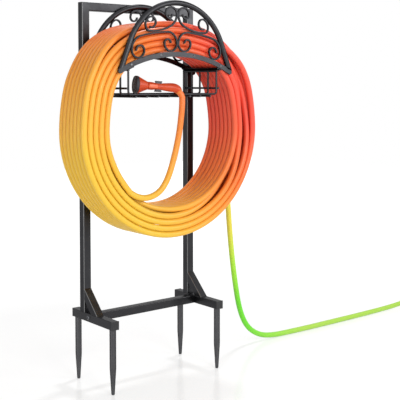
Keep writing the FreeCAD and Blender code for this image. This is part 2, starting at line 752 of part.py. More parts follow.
# Basket of welded wire
def basket():
    half = size.basket_half
    front = upright_y - size.basket_front
    rear = upright_y - size.tube / 2 - size.basket_rear
    top = basket_rim - size.wire / 2 - size.weld_gap

    def corner(here, shorter, bend):
        return size.hoop_corner

    hoops = []
    for index in range(HOOPS):
        y = front + (rear - front) * index / (HOOPS - 1)
        path = rounded_path([
            Vector(-half, y, top), Vector(-half, y, basket_floor),
            Vector(half, y, basket_floor), Vector(half, y, top),
        ], corner)
        hoops.append(faceted_rod(path, size.wire / 2, WIRE_SIDES, Vector(0, 1, 0)))
    node(solid("hoop_set", Part.makeCompound(hoops)), "basket_hoops")

    begin = f"{UPRIGHT_Y} - basket_front - wire / 2"
    length = "basket_front - tube / 2 - basket_rear + wire"
    rims = [
        cylinder(f"{side}_rim_rod", "y", f"{sign} * basket_half", begin, BASKET_RIM, "wire / 2", length)
        for side, sign in SIDES
    ]
    node(group("rim_pair", rims), "basket_rim")
    side_rails = [
        cylinder(f"{side}_side_rail", "y", f"{sign} * (basket_half + wire + weld_gap)", begin, BASKET_MID,
                 "wire / 2", length)
        for side, sign in SIDES
    ]
    node(group("side_rail_pair", side_rails), "basket_side_rails")
    wires = [
        cylinder(f"floor_wire_{index + 1}", "y", f"{index - (FLOOR_WIRES - 1) / 2} * floor_wire_pitch",
                 begin, f"{BASKET_FLOOR} - wire - weld_gap", "wire / 2", length)
        for index in range(FLOOR_WIRES)
    ]
    node(group("floor_wire_set", wires), "basket_floor_wires")


# Hose: its coil has a flatter crown and fuller shoulders than a circle, as it hangs on the saddle
crown = size.crown_shift
bulge = size.shoulder_bulge
shoulder = (2 * crown * bulge - bulge ** 2) / (2 * ((math.sqrt(2) - 1) * crown - math.sqrt(2) * bulge))
crown_edge = math.degrees(math.atan2(shoulder, shoulder + crown))
# each arc of the contour: where it ends in degrees, the middle of the arc, and what it adds to the radius
CONTOUR = (
    (crown_edge, -crown, 0, crown),
    (90 - crown_edge, shoulder, shoulder, bulge - shoulder * math.sqrt(2)),
    (90 + crown_edge, 0, -crown, crown),
    (180 - crown_edge, -shoulder, shoulder, bulge - shoulder * math.sqrt(2)),
    (180, crown, 0, crown),
    (360, 0, 0, 0),
)


hose_section = HOSE_SIDES / 2 * (size.hose_dia / 2) ** 2 * math.sin(2 * math.pi / HOSE_SIDES)


def contour_arc(degrees):
    return next(arc for arc in CONTOUR if degrees % 360 < arc[0])


def contour_point(degrees, arc, radius, y):
    turn = math.radians(degrees)
    reach = radius + arc[3]
    return Vector(arc[1] + reach * math.cos(turn), y, coil_centre + arc[2] + reach * math.sin(turn))


def contour_face(radius, y):
    edges = []
    start = 0
    for arc in CONTOUR:
        places = [contour_point(at, arc, radius, y) for at in (start, (start + arc[0]) / 2, arc[0])]
        edges.append(Part.Arc(*places).toShape())
        start = arc[0]
    return Part.Face(Part.Wire(edges))


# the winding steps forward once a turn, then inward on the front face, each time a little earlier
DEPTH_STEP = 115
LAYER_STEPS = (25, -45, -90, -132)
STEP_SPAN = 40
EASE_AT = 180
LEAVE_AT = 221
front_turn_y = upright_y - size.coil_front
rear_turn_y = front_turn_y + (TURNS - 1) * size.turn_pitch
inner_layer = size.outer_layer - (LAYERS - 1) * size.layer_pitch
LAST_TURN = 360 * (TURNS + LAYERS - 3)


def coil_stops():
    """Where the winding steps: (from degrees, to degrees, radius, y, next radius, next y)."""
    stops = []
    radius = size.outer_layer
    y = rear_turn_y
    for turn in range(TURNS - 1):
        base = 360 * turn
        start = base + DEPTH_STEP
        stops.append((start, start + STEP_SPAN, radius, y, radius, y - size.turn_pitch))
        y -= size.turn_pitch
    for turn, angle in enumerate(LAYER_STEPS):
        start = 360 * (TURNS - 1 + turn) + angle
        stops.append((start, start + STEP_SPAN, radius, y, radius - size.layer_pitch, y))
        radius -= size.layer_pitch
    start = LAST_TURN + EASE_AT
    stops.append((start, start + STEP_SPAN, radius, y, radius - size.inner_ease, y))
    return stops


def coil_exit():
    """Where the hose leaves the inner layer, and its direction there."""
    turn = math.radians(LEAVE_AT)
    place = contour_point(LEAVE_AT, CONTOUR[-1], inner_layer - size.inner_ease, front_turn_y)
    return place, Vector(-math.sin(turn), 0, math.cos(turn))


def coil_path():
    """The winding: flat turns with short steps, one forward or inward each turn."""
    edges = []

    def flat(start, end, radius, y):
        marks = [start]
        marks += [base + arc[0] for base in range(0, int(end) + 360, 360) for arc in CONTOUR
                  if start < base + arc[0] < end]
        marks.append(end)
        for here, there in zip(marks, marks[1:]):
            pieces = max(1, math.ceil((there - here) / 90 - 1e-9))
            arc = contour_arc((here + there) / 2)
            for part in range(pieces):
                low = here + (there - here) * part / pieces
                high = here + (there - here) * (part + 1) / pieces
                places = [contour_point(at, arc, radius, y) for at in (low, (low + high) / 2, high)]
                edges.append(Part.Arc(*places).toShape())

    def step(start, end, radius, y, next_radius, next_y):
        arc = contour_arc((start + end) / 2)
        middle = (start + end) / 2
        rate = math.pi / 2 / math.radians(end - start)
        marks = ((start, radius, y, 0), (middle, (radius + next_radius) / 2, (y + next_y) / 2, rate),
                 (end, next_radius, next_y, 0))
        ends = []
        for degrees, r, depth, speed in marks:
            turn = math.radians(degrees)
            outwards = Vector(math.cos(turn), 0, math.sin(turn))
            along = Vector(-math.sin(turn), 0, math.cos(turn)) * (r + arc[3])
            along += outwards * ((next_radius - radius) * speed) + Vector(0, (next_y - y) * speed, 0)
            ends.append((contour_point(degrees, arc, r, depth), along.normalize()))
        for (place, tangent), (end_place, end_tangent) in zip(ends, ends[1:]):
            edges.extend(biarc(place, tangent, end_place, end_tangent))

    first = contour_point(0, CONTOUR[-1], size.outer_layer, rear_turn_y)
    edges.append(Part.LineSegment(first - Vector(0, 0, size.hose_dia), first).toShape())
    at = 0
    for start, end, radius, y, next_radius, next_y in coil_stops():
        flat(at, start, radius, y)
        step(start, end, radius, y, next_radius, next_y)
        at = end
    flat(at, LAST_TURN + LEAVE_AT, inner_layer - size.inner_ease, front_turn_y)
    last, direction = coil_exit()
    edges.append(Part.LineSegment(last, last + direction * size.hose_dia).toShape())
    return Part.Wire(edges)


def least_gap(path, spacing, diameter):
    """The least gap between turns, measured on points along the path."""
    points = path.discretize(Distance=spacing)
    cell = 2 * diameter
    cells = {}
    for index, point in enumerate(points):
        key = tuple(int(math.floor(value / cell)) for value in point)
        cells.setdefault(key, []).append(index)
    skip = int(6 * diameter / spacing)
    least = cell
    for key, members in cells.items():
        near = [other for dx in (-1, 0, 1) for dy in (-1, 0, 1) for dz in (-1, 0, 1)
                for other in cells.get((key[0] + dx, key[1] + dy, key[2] + dz), ())]
        for index in members:
            for other in near:
                if other > index + skip:
                    least = min(least, points[index].distanceToPoint(points[other]))
    return least - diameter


def hose_coil():
    path = coil_path()
    tube = faceted_rod(path, size.hose_dia / 2, HOSE_SIDES, Vector(1, 0, 0))
    print(f"coil length {path.Length:.0f} mm, volume {tube.Volume / (hose_section * path.Length):.4f} of its section"
          f" times its length, least gap {least_gap(path, 4.0, size.hose_dia):.2f} mm")
    node(solid("coil_tube", tube), "hose_coil")
    gap = size.part_gap + size.hose_dia / 2
    start = front_turn_y + gap + size.part_gap
    depth = rear_turn_y + size.hose_dia / 2 - start
    outer = contour_face(size.outer_layer - gap - size.part_gap, start)
    inner = contour_face(inner_layer - size.hose_dia / 2, start)
    ring = outer.extrude(Vector(0, depth, 0)).cut(inner.extrude(Vector(0, depth, 0)))
    node(solid("coil_ring", ring), "hose_coil_core")


def hose_run(name, points, label):
    """A free stretch of hose, with arcs as large as its runs allow."""
    radii = []

    def widest(here, shorter, bend):
        radius = 0.45 * shorter / math.tan(bend / 2)
        radii.append(radius)
        return radius

    path = rounded_path(points, widest)
    tube = faceted_rod(path, size.hose_dia / 2, HOSE_SIDES, Vector(0, 1, 0))
    print(f"{label} length {path.Length:.0f} mm, volume {tube.Volume / (hose_section * path.Length):.4f} of its section"
          f" times its length, radii {[round(radius) for radius in radii]}")
    node(solid(name, tube), label)


def behind_upright(x, y, z):
    """A point of a hose route: y is counted from the uprights' plane, forwards negative."""
    return Vector(x, upright_y + y, z)


# from the nozzle to the coil: across, ahead of the uprights, and above the coil's middle
NOZZLE_ROUTE = (
    (17, -198.5, 87), (15.5, -199.5, 66), (12.5, -199.5, 40), (7, -199, -3), (-6, -197.5, -62),
    (-27, -195.5, -128), (-46, -193, -163), (-64.5, -191, -180.5), (-82.8, -189, -189), (-102.4, -187, -193),
    (-121, -185, -191.5), (-138, -183.5, -186),
)
ROUTE_LEAD = 13
# from the coil down to the ground and along it; heights are for a coil whose side hangs at ROUTE_TOP
ROUTE_TOP = 740.8
FLOOR_ROUTE = (
    (309.5, -47, 690), (315.5, -45, 610), (329, -40, 515), (343, -34, 410), (359, -29, 310), (379, -23, 215),
    (404, -16, 125), (440, -12, 60), (498, -11, 21), (565, -13, 9.2), (640, -16, 8.7), (735, -19, 8.7),
    (850, -19, 8.7), (970, -18.5, 8.7), (1080, -17, 8.7), (1195, -17, 10.5),
)
CONNECTOR_AT = (1262, -18)


def hose_runs():
    last, direction = coil_exit()
    leave = last + direction * size.hose_dia
    points = [ferrule_end(0), ferrule_end(ROUTE_LEAD)]
    points += [behind_upright(x, y, coil_centre + rise) for x, y, rise in NOZZLE_ROUTE]
    points += [leave + direction * ROUTE_LEAD, leave]
    hose_run("nozzle_hose", points, "hose_nozzle_run")
    begin = contour_point(0, CONTOUR[-1], size.outer_layer, rear_turn_y) - Vector(0, 0, size.hose_dia)
    end = behind_upright(CONNECTOR_AT[0], CONNECTOR_AT[1], size.connector_height)
    points = [begin] + [behind_upright(x, y, z * begin.z / ROUTE_TOP) for x, y, z in FLOOR_ROUTE]
    points += [end, end + Vector(size.sleeve_length + 2 * size.sleeve_wall, 0, 0)]
    hose_run("floor_hose", points, "hose_floor_run")


# Spray nozzle: built along its own axis, then laid in the basket with its head to the left
NOZZLE_YAW = 19
NOZZLE_PITCH = 4.5
VALVE_X = -50.9
VALVE_AHEAD = 172.5
HEAD_MIDDLE = 67
# the head lies on a basket wire that passes this far beside its middle
HEAD_OFFSET = 7.7


def nozzle_place():
    yaw = math.radians(NOZZLE_YAW)
    pitch = math.radians(NOZZLE_PITCH)
    spray = Vector(-math.cos(yaw) * math.cos(pitch), math.sin(yaw) * math.cos(pitch), math.sin(pitch))
    up = Vector(0, 0, 1) - spray * spray.z
    up.normalize()
    side = up.cross(spray)
    head = basket_floor + size.wire / 2 + math.sqrt(size.bumper_radius ** 2 - HEAD_OFFSET ** 2) + size.slip_fit
    place = behind_upright(VALVE_X, -VALVE_AHEAD, head - HEAD_MIDDLE * spray.z)
    return Placement(FreeCAD.Matrix(
        side.x, up.x, spray.x, place.x,
        side.y, up.y, spray.y, place.y,
        side.z, up.z, spray.z, place.z,
        0, 0, 0, 1))


def tail_arc(reach):
    """The tail bends down from the end of the grip; reach adds a straight end."""
    turn = math.radians(size.tail_turn)
    start = Vector(0, 0, -size.grip_tail)
    centre = start - Vector(0, size.tail_bend, 0)
    edges = []
    places = [centre + Vector(0, math.cos(turn * share), -math.sin(turn * share)) * size.tail_bend
              for share in (0, 0.5, 1)]
    edges.append(Part.Arc(*places).toShape())
    direction = Vector(0, -math.sin(turn), -math.cos(turn))
    return edges, places[2], places[2] + direction * reach


def ferrule_end(beyond):
    """A point on the collar's axis, at its end or further along the hose."""
    return nozzle_place().multVec(tail_arc(size.ferrule_length + beyond)[2])


def nozzle():
    place = nozzle_place()

    def lay(thing, label):
        thing.Placement = place
        return node(thing, label)

    grip = turned("grip", [
        ("0", "-grip_tail"), ("tail_radius", "-grip_tail"), ("tail_radius + 0.6", "-grip_tail + 10"),
        ("grip_waist", "-valve_pad_length / 2 - 2"), ("grip_waist", "valve_pad_length / 2 + 2"),
        ("grip_radius", "neck_end - 12"),
        ("grip_radius", "neck_end"), ("dial_spindle", "neck_end"),
        ("dial_spindle", "neck_end - spindle_seat"), ("0", "neck_end - spindle_seat"),
    ])
    panel = box("grip_panel", "grip_radius - 3", "-panel_height / 2", "neck_end - 1 - panel_length", "4",
                "panel_height", "panel_length")
    bore = cylinder("grip_valve_bore", "y", "0", "-2 * grip_radius", "0", "valve_radius + running_fit",
                    "4 * grip_radius")
    lay(cut("grip_cut", fuse("grip_blank", grip, panel), bore), "nozzle_body")

    lay(turned("shroud", [
        ("dial_spindle + part_gap", "neck_end"), ("grip_radius", "neck_end"), ("grip_radius + 3", "neck_end + 6"),
        ("grip_radius + 7.5", "neck_end + 14"), ("shroud_radius - 2", "shroud_end - 5"),
        ("shroud_radius", "shroud_end"), ("shroud_radius - 2.5", "shroud_end"),
        ("shroud_radius - 4.5", "shroud_end - 5"), ("grip_radius + 4.5", "neck_end + 14"),
        ("dial_spindle + part_gap", "neck_end + 6"),
    ]), "nozzle_shroud")

    begin = "(shroud_end + part_gap)"
    lay(turned("bumper", [
        ("bumper_radius - bumper_wall", begin), ("bumper_radius - 1", begin), ("bumper_radius", f"{begin} + 1.5"),
        ("bumper_radius", f"{begin} + bumper_length - 3"), ("bumper_radius - 2", f"{begin} + bumper_length"),
        ("bumper_radius - bumper_wall", f"{begin} + bumper_length"),
    ]), "nozzle_bumper")

    face = "(bumper_radius - bumper_wall - slip_fit)"
    dial = turned("dial", [
        ("0", "neck_end - spindle_seat + part_gap"),
        ("dial_spindle - running_fit", "neck_end - spindle_seat + part_gap"),
        ("dial_spindle - running_fit", begin), (f"{face}", begin), (f"{face}", f"{begin} + face_thick - 1"),
        (f"{face} - 3", f"{begin} + face_thick"), ("0", f"{begin} + face_thick"),
    ])
    jets = []
    ring = "(bumper_radius - bumper_wall) * 0.62"
    for index in range(FACE_HOLES):
        jets.append(cylinder(f"jet_{index + 1}", "z", f"{ring} * cos({360 * index / FACE_HOLES} deg)",
                             f"{ring} * sin({360 * index / FACE_HOLES} deg)", f"{begin} + face_thick - 3",
                             "2.2", "6"))
    lay(cut("dial_cut", dial, *jets), "nozzle_dial")

    reach = "(grip_waist + part_gap + valve_travel)"
    stem = cylinder("valve_stem", "y", "0", f"-{reach}", "0", "valve_radius", f"2 * {reach}")
    pads = [
        box(f"valve_pad_{spot}", "-6", y, "-valve_pad_length / 2", "12", "valve_pad", "valve_pad_length")
        for spot, y in (("up", reach), ("down", f"-{reach} - valve_pad"))
    ]
    lay(fuse("valve_blank", stem, *pads), "nozzle_valve")

    edges, bend_end, end = tail_arc(size.ferrule_length)
    lay(solid("tail", faceted_rod(Part.Wire(edges), size.tail_radius, TAIL_SIDES, Vector(1, 0, 0))), "nozzle_tail")
    line = Part.Wire(Part.LineSegment(bend_end, end).toShape())
    lay(solid("collar", faceted_rod(line, size.tail_radius - 1.2, TAIL_SIDES, Vector(1, 0, 0))), "hose_collar")


def tap_connector():
    """Crimped sleeve, flanged stem, swivel nut and washer on the hose's far end."""
    place = Placement(behind_upright(CONNECTOR_AT[0], CONNECTOR_AT[1], size.connector_height), ALONG["x"])
    hose_end = "(sleeve_length + 2 * sleeve_wall)"

    def lay(thing, label):
        thing.Placement = place
        return node(thing, label)

    bore = "hose_dia / 2 + slip_fit"
    lay(turned("sleeve", [
        (bore, "2 * sleeve_wall"), (f"{bore} + sleeve_wall", "2 * sleeve_wall"),
        (f"{bore} + sleeve_wall", hose_end), (bore, hose_end),
    ]), "tap_sleeve")
    neck = f"({hose_end} + 3)"
    collar = f"({neck} + stem_neck_length)"
    lay(turned("stem", [
        ("0", hose_end), ("stem_flange", hose_end), ("stem_flange", neck), ("stem_neck", neck),
        ("stem_neck", collar), ("stem_collar", collar), ("stem_collar", f"{collar} + 2"), ("0", f"{collar} + 2"),
    ]), "tap_stem")
    washer = f"({collar} + 2)"
    lay(turned("washer", [
        ("stem_neck - 2", washer), ("nut_thread - 1", washer), ("nut_thread - 1", f"{washer} + washer_thick"),
        ("stem_neck - 2", f"{washer} + washer_thick"),
    ]), "tap_washer")
    thread = f"({washer} + washer_thick + part_gap)"
    lay(turned("swivel", [
        ("stem_neck + running_fit", f"{neck} + 2 * part_gap"), ("nut_radius - 2", f"{neck} + 2 * part_gap"),
        ("nut_radius", f"{neck} + 3"), ("nut_radius", f"{thread} + nut_thread_length - 1"),
        ("nut_radius - 1", f"{thread} + nut_thread_length"), ("nut_thread", f"{thread} + nut_thread_length"),
        ("nut_thread", thread), ("nut_thread - 0.5", thread),
        ("nut_thread - 0.5", f"{collar} - part_gap"), ("stem_neck + running_fit", f"{collar} - part_gap"),
    ]), "tap_nut")


mitred_frame()
feet()
cross_bar()
braces()
end_caps()
spikes()
panels()
slats()
hanger_bolts()
basket()
hose_coil()
nozzle()
hose_runs()
tap_connector()

doc.recompute()
for thing in doc.Objects:
    if "Invalid" in thing.State or "Error" in thing.State:
        raise RuntimeError(f"{thing.Name} failed: {thing.State}")
for piece in nodes:
    if piece.Shape.isNull() or not piece.Shape.isValid() or not piece.Shape.Solids:
        raise RuntimeError(f"{piece.Label} has no valid solid")

os.makedirs("parts", exist_ok=True)
for piece in nodes:
    piece.Shape.exportStep(f"parts/{piece.Label}.step")
print(f"{len(nodes)} sub-parts written")
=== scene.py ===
"""A garden hose stand with its coiled hose and spray nozzle, dressed for a studio picture.

Everything is in metres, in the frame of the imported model: +Z up, the hose side faces -Y. Only the nozzle's
own measures and the points of the hose's free stretches are written in millimetres.
"""
import json
import math

import bmesh
import bpy
from mathutils import Matrix, Vector


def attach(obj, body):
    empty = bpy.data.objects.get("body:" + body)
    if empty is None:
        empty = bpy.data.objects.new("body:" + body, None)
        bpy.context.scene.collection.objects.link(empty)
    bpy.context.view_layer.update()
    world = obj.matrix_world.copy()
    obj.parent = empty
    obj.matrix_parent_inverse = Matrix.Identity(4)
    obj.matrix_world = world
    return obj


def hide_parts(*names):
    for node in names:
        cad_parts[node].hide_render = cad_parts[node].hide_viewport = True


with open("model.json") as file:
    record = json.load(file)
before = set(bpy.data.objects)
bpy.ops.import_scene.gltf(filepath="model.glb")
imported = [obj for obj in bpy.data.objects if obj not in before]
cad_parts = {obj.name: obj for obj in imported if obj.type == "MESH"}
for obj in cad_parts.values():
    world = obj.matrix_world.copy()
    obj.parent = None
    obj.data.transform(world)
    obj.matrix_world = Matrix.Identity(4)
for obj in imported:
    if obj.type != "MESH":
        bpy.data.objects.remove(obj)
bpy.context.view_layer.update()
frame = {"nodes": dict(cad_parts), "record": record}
nodes = frame["nodes"]

MM = 0.001
# the square tube frame
TUBE = 0.025
FRAME_HALF = 0.207
FRAME_TOP = 1.131
FOOT_TOP = 0.215
BRACE_RISE = 0.07
UPRIGHT_X = FRAME_HALF - TUBE / 2
UPRIGHT_Y = 0.0755


def srgb(red, green, blue):
    """A screen colour, 0 to 255, as the linear colour that shaders take."""
    linear = []
    for value in (red, green, blue):
        share = value / 255
        linear.append(share / 12.92 if share <= 0.04045 else ((share + 0.055) / 1.055) ** 2.4)
    return (*linear, 1.0)


# Finishes
# most of a noise lies between these two values
CLOUD_LOW = 0.3
CLOUD_HIGH = 0.7
# where a Mix node has its two colours, and where it gives their mixture
FIRST_COLOUR = 6
SECOND_COLOUR = 7
MIXED_COLOUR = 2


class Finish:
    """A material under construction: its node tree, its main shader and its object coordinates."""

    def __init__(self, name, colour, roughness, metallic=0.0):
        self.material = bpy.data.materials.new(name)
        self.material.use_nodes = True
        self.tree = self.material.node_tree
        self.shader = self.tree.nodes["Principled BSDF"]
        self.shader.inputs["Base Color"].default_value = colour
        self.shader.inputs["Roughness"].default_value = roughness
        self.shader.inputs["Metallic"].default_value = metallic
        self.place = self.add("ShaderNodeTexCoord").outputs["Object"]

    def add(self, kind, **settings):
        node = self.tree.nodes.new(kind)
        for key, value in settings.items():
            setattr(node, key, value)
        return node

    def link(self, source, target):
        self.tree.links.new(source, target)

    def feed(self, socket, value):
        """Set a socket to a number or a colour, or link it to another node."""
        if isinstance(value, (int, float, tuple)):
            socket.default_value = value
        else:
            self.link(value, socket)

    def axes(self):
        node = self.add("ShaderNodeSeparateXYZ")
        self.link(self.place, node.inputs["Vector"])
        return node.outputs

    def noise(self, scale, detail):
        node = self.add("ShaderNodeTexNoise")
        self.link(self.place, node.inputs["Vector"])
        node.inputs["Scale"].default_value = scale
        node.inputs["Detail"].default_value = detail
        node.inputs["Roughness"].default_value = 0.55
        return node.outputs["Fac"]

    def ramp(self, factor, *stops):
        node = self.add("ShaderNodeValToRGB")
        self.link(factor, node.inputs["Fac"])
        ramp = node.color_ramp
        while len(ramp.elements) < len(stops):
            ramp.elements.new(0.5)
        for element, (position, colour) in zip(ramp.elements, stops):
            element.position = position
            element.color = colour
        return node.outputs["Color"]

    def span(self, value, low, high, to_low=0.0, to_high=1.0):
        node = self.add("ShaderNodeMapRange")
        self.link(value, node.inputs["Value"])
        for name, number in (("From Min", low), ("From Max", high), ("To Min", to_low), ("To Max", to_high)):
            node.inputs[name].default_value = number
        return node.outputs["Result"]

    def math(self, operation, first, second=None):
        node = self.add("ShaderNodeMath", operation=operation)
        self.feed(node.inputs[0], first)
        if second is not None:
            self.feed(node.inputs[1], second)
        return node.outputs["Value"]

    def mix(self, factor, first, second):
        node = self.add("ShaderNodeMix", data_type="RGBA")
        self.feed(node.inputs["Factor"], factor)
        self.feed(node.inputs[FIRST_COLOUR], first)
        self.feed(node.inputs[SECOND_COLOUR], second)
        return node.outputs[MIXED_COLOUR]

    def corner_highlight(self, across, middle):
        """A painted highlight's mask: one along the corners of the square tubes at both uprights, nought on
        their flat sides.

        Two of a tube's sides face along X, the other two along a given direction, about a middle distance.
        """
        side = self.math("SUBTRACT", self.math("ABSOLUTE", self.axes()["X"]), UPRIGHT_X)
        along = self.add("ShaderNodeVectorMath", operation="DOT_PRODUCT")
        self.link(self.place, along.inputs[0])
        self.feed(along.inputs[1], across)
        front = self.math("SUBTRACT", along.outputs["Value"], middle)
        inner = self.math("MINIMUM", self.math("ABSOLUTE", side), self.math("ABSOLUTE", front))
        return self.span(inner, HIGHLIGHT_START, HIGHLIGHT_FULL)

    def mottle(self, dark, light, scale, detail=3.0, low=CLOUD_LOW, high=CLOUD_HIGH):
        """Two shades in soft cloudy patches."""
        return self.ramp(self.noise(scale, detail), (low, dark), (high, light))

    def colour(self, source):
        self.link(source, self.shader.inputs["Base Color"])

    def uneven(self, low, high, scale):
        """Roughness that wanders between two values."""
        wander = self.span(self.noise(scale, detail=3.0), CLOUD_LOW, CLOUD_HIGH, low, high)
        self.link(wander, self.shader.inputs["Roughness"])

    def grain(self, scale, strength, depth):
        """Fine bumps all over."""
        node = self.add("ShaderNodeBump")
        self.link(self.noise(scale, detail=2.0), node.inputs["Height"])
        node.inputs["Strength"].default_value = strength
        node.inputs["Distance"].default_value = depth
        self.link(node.outputs["Normal"], self.shader.inputs["Normal"])


# painted highlight: lighter paint on the corners of uprights and braces, standing in for light caught by
# their edges, between two distances from a tube's middle
HIGHLIGHT_START = 0.0106
HIGHLIGHT_FULL = 0.0113
EDGE_HIGHLIGHT_GREY = srgb(116, 116, 116)
# a direction square to a tube's front, and how far along it the tube's middle is
LEAN = math.sqrt(0.5)
BRACE_TOP = (FOOT_TOP + BRACE_RISE - (UPRIGHT_Y - TUBE / 2)) * LEAN
UPRIGHT_FRONT = ((0, 1, 0), UPRIGHT_Y)
BRACE_FRONT = ((0, -LEAN, LEAN), BRACE_TOP - TUBE / 2)
# how far the paint's cloudy patches are from its own shade
SHADE_STEP = 4


def near_grey(shade):
    return srgb(shade, shade, shade + 2)


def powder_coat(name, shade, rim, highlight_edges=None):
    """Satin black paint with the fine orange peel of a baked coat.

    Rim is the share of the sheen left at a rod's outline; the last argument tells where a tube's corners get
    a painted highlight of lighter paint.
    """
    coat = Finish(name, near_grey(shade), roughness=0.36, metallic=1.0)
    paint = coat.mottle(near_grey(shade - SHADE_STEP), near_grey(shade + SHADE_STEP), scale=14.0, detail=4.0)
    # a painted highlight: lighter grey along the tube's corners
    if highlight_edges:
        paint = coat.mix(coat.corner_highlight(*highlight_edges), paint, EDGE_HIGHLIGHT_GREY)
    coat.colour(paint)
    coat.uneven(0.32, 0.4, scale=60.0)
    coat.grain(scale=900.0, strength=0.06, depth=0.0003)
    coat.shader.inputs["Specular Tint"].default_value = (rim, rim, rim, 1)
    return coat.material


def bolt_black():
    """Blackened steel of the bolts and rivets, a little brighter on its worn parts."""
    steel = Finish("black_oxide_steel", srgb(90, 91, 94), roughness=0.34, metallic=0.85)
    steel.colour(steel.mottle(srgb(72, 73, 76), srgb(128, 130, 134), scale=240.0, low=0.35, high=0.75))
    steel.uneven(0.28, 0.45, scale=420.0)
    return steel.material


def zinc_steel():
    """Bright zinc of the hidden nuts and plugs."""
    zinc = Finish("zinc_plated_steel", srgb(176, 180, 186), roughness=0.35, metallic=1.0)
    zinc.colour(zinc.mottle(srgb(160, 164, 170), srgb(196, 199, 204), scale=90.0, detail=5.0, low=0.35))
    zinc.uneven(0.28, 0.42, scale=300.0)
    return zinc.material


def cap_plastic():
    """Black moulded plastic of the tube caps."""
    plastic = Finish("black_cap_plastic", srgb(24, 24, 26), roughness=0.55)
    plastic.colour(plastic.mottle(srgb(22, 22, 24), srgb(32, 32, 34), scale=35.0))
    plastic.grain(scale=1400.0, strength=0.25, depth=0.0002)
    return plastic.material


# the hose's colours, from the lower left of its coil to the upper right, and along the ground
HOSE_YELLOW = srgb(236, 191, 60)
HOSE_AMBER = srgb(242, 168, 60)
HOSE_ORANGE = srgb(236, 122, 50)
HOSE_RED = srgb(236, 82, 62)
HOSE_STRAW = srgb(228, 216, 76)
HOSE_LIME = srgb(172, 228, 62)
HOSE_GREEN = srgb(112, 222, 48)
HOSE_LEAF = srgb(170, 214, 78)
COIL_COLOURS = ((0.0, HOSE_YELLOW), (0.26, HOSE_AMBER), (0.55, HOSE_ORANGE), (0.88, HOSE_RED))
GROUND_COLOURS = (
    (0.15, HOSE_STRAW), (0.25, HOSE_LIME), (0.38, HOSE_GREEN), (0.48, HOSE_GREEN), (0.68, HOSE_LEAF),
)
# the height of the coil's middle
COIL_MIDDLE = 0.758
# how much each way counts towards red, and the stretch over which the coil's colours run
RIGHTWARD = 0.7
# the rearward share is painted shade: it turns the coil's outer side more orange towards the rear
REARWARD_PAINTED_SHADE = 0.3
UP_FROM_BELOW = 0.73
UP_ABOVE = 0.46
COIL_FIRST = -0.295
COIL_LAST = 0.245
# distances from the coil's middle over which the ground's colours run, and over which they take over
GROUND_FIRST = 0.33
GROUND_LAST = 1.35
COIL_FADES = 0.337
COIL_GONE = 0.4


def hose_skin():
    """Smooth vinyl whose colour drifts from yellow over orange to red, and to green on the ground; the part
    of the drift towards the rear is painted shade on the coil's outer side.
    """
    skin = Finish("shaded_hose_vinyl", HOSE_ORANGE, roughness=0.36)
    axes = skin.axes()
    height = skin.math("SUBTRACT", axes["Z"], COIL_MIDDLE)
    below = skin.math("MULTIPLY", skin.math("MINIMUM", height, 0.0), UP_FROM_BELOW)
    above = skin.math("MULTIPLY", skin.math("MAXIMUM", height, 0.0), UP_ABOVE)
    aside = skin.math("ADD", skin.math("MULTIPLY", axes["X"], RIGHTWARD), skin.math("ADD", below, above))
    across = skin.math("ADD", aside, skin.math("MULTIPLY", axes["Y"], REARWARD_PAINTED_SHADE))
    coil = skin.ramp(skin.span(across, COIL_FIRST, COIL_LAST), *COIL_COLOURS)
    flat = skin.math("MULTIPLY", axes["X"], axes["X"])
    reach = skin.math("SQRT", skin.math("ADD", flat, skin.math("MULTIPLY", height, height)))
    ground = skin.ramp(skin.span(reach, GROUND_FIRST, GROUND_LAST), *GROUND_COLOURS)
    skin.colour(skin.mix(skin.span(reach, COIL_FADES, COIL_GONE), coil, ground))
    skin.uneven(0.3, 0.42, scale=110.0)
    skin.grain(scale=700.0, strength=0.06, depth=0.0003)
    skin.shader.inputs["Specular IOR Level"].default_value = 0.36
    return skin.material


def nozzle_shell():
    """Orange-red glossy plastic of the nozzle's handle and head."""
    shell = Finish("orange_nozzle_plastic", srgb(198, 66, 24), roughness=0.32)
    shell.colour(shell.mottle(srgb(188, 58, 20), srgb(206, 74, 28), scale=45.0))
    shell.uneven(0.26, 0.4, scale=160.0)
    shell.grain(scale=1500.0, strength=0.08, depth=0.0002)
    shell.shader.inputs["Specular IOR Level"].default_value = 0.34
    return shell.material


def nozzle_panel():
    """Lighter orange soft panel on the nozzle's side."""
    panel = Finish("light_orange_panel", srgb(230, 104, 66), roughness=0.38)
    panel.colour(panel.mottle(srgb(222, 96, 58), srgb(236, 116, 76), scale=60.0))
    return panel.material


def collar_plastic():
    """Amber plastic of the ring between nozzle and hose."""
    collar = Finish("amber_collar_plastic", srgb(226, 132, 40), roughness=0.4)
    collar.colour(collar.mottle(srgb(214, 112, 34), srgb(234, 146, 50), scale=70.0))
    return collar.material


def nozzle_rubber():
    """Matte black rubber of the head's bumper and the washer."""
    rubber = Finish("black_bumper_rubber", srgb(38, 38, 42), roughness=0.6)
    rubber.colour(rubber.mottle(srgb(34, 34, 38), srgb(46, 46, 52), scale=80.0))
    rubber.grain(scale=1800.0, strength=0.2, depth=0.0002)
    return rubber.material


def nozzle_dark():
    """Charcoal plastic of the dial and the push button."""
    dark = Finish("charcoal_plastic", srgb(60, 60, 64), roughness=0.5)
    dark.colour(dark.mottle(srgb(50, 50, 54), srgb(78, 78, 82), scale=400.0, low=0.35))
    dark.grain(scale=1600.0, strength=0.2, depth=0.0002)
    return dark.material


def connector_brass():
    """Drawn brass of the tap connector."""
    brass = Finish("drawn_brass", srgb(214, 170, 92), roughness=0.3, metallic=1.0)
    brass.colour(brass.mottle(srgb(198, 152, 76), srgb(226, 186, 110), scale=120.0, detail=5.0))
    brass.uneven(0.22, 0.38, scale=500.0)
    return brass.material


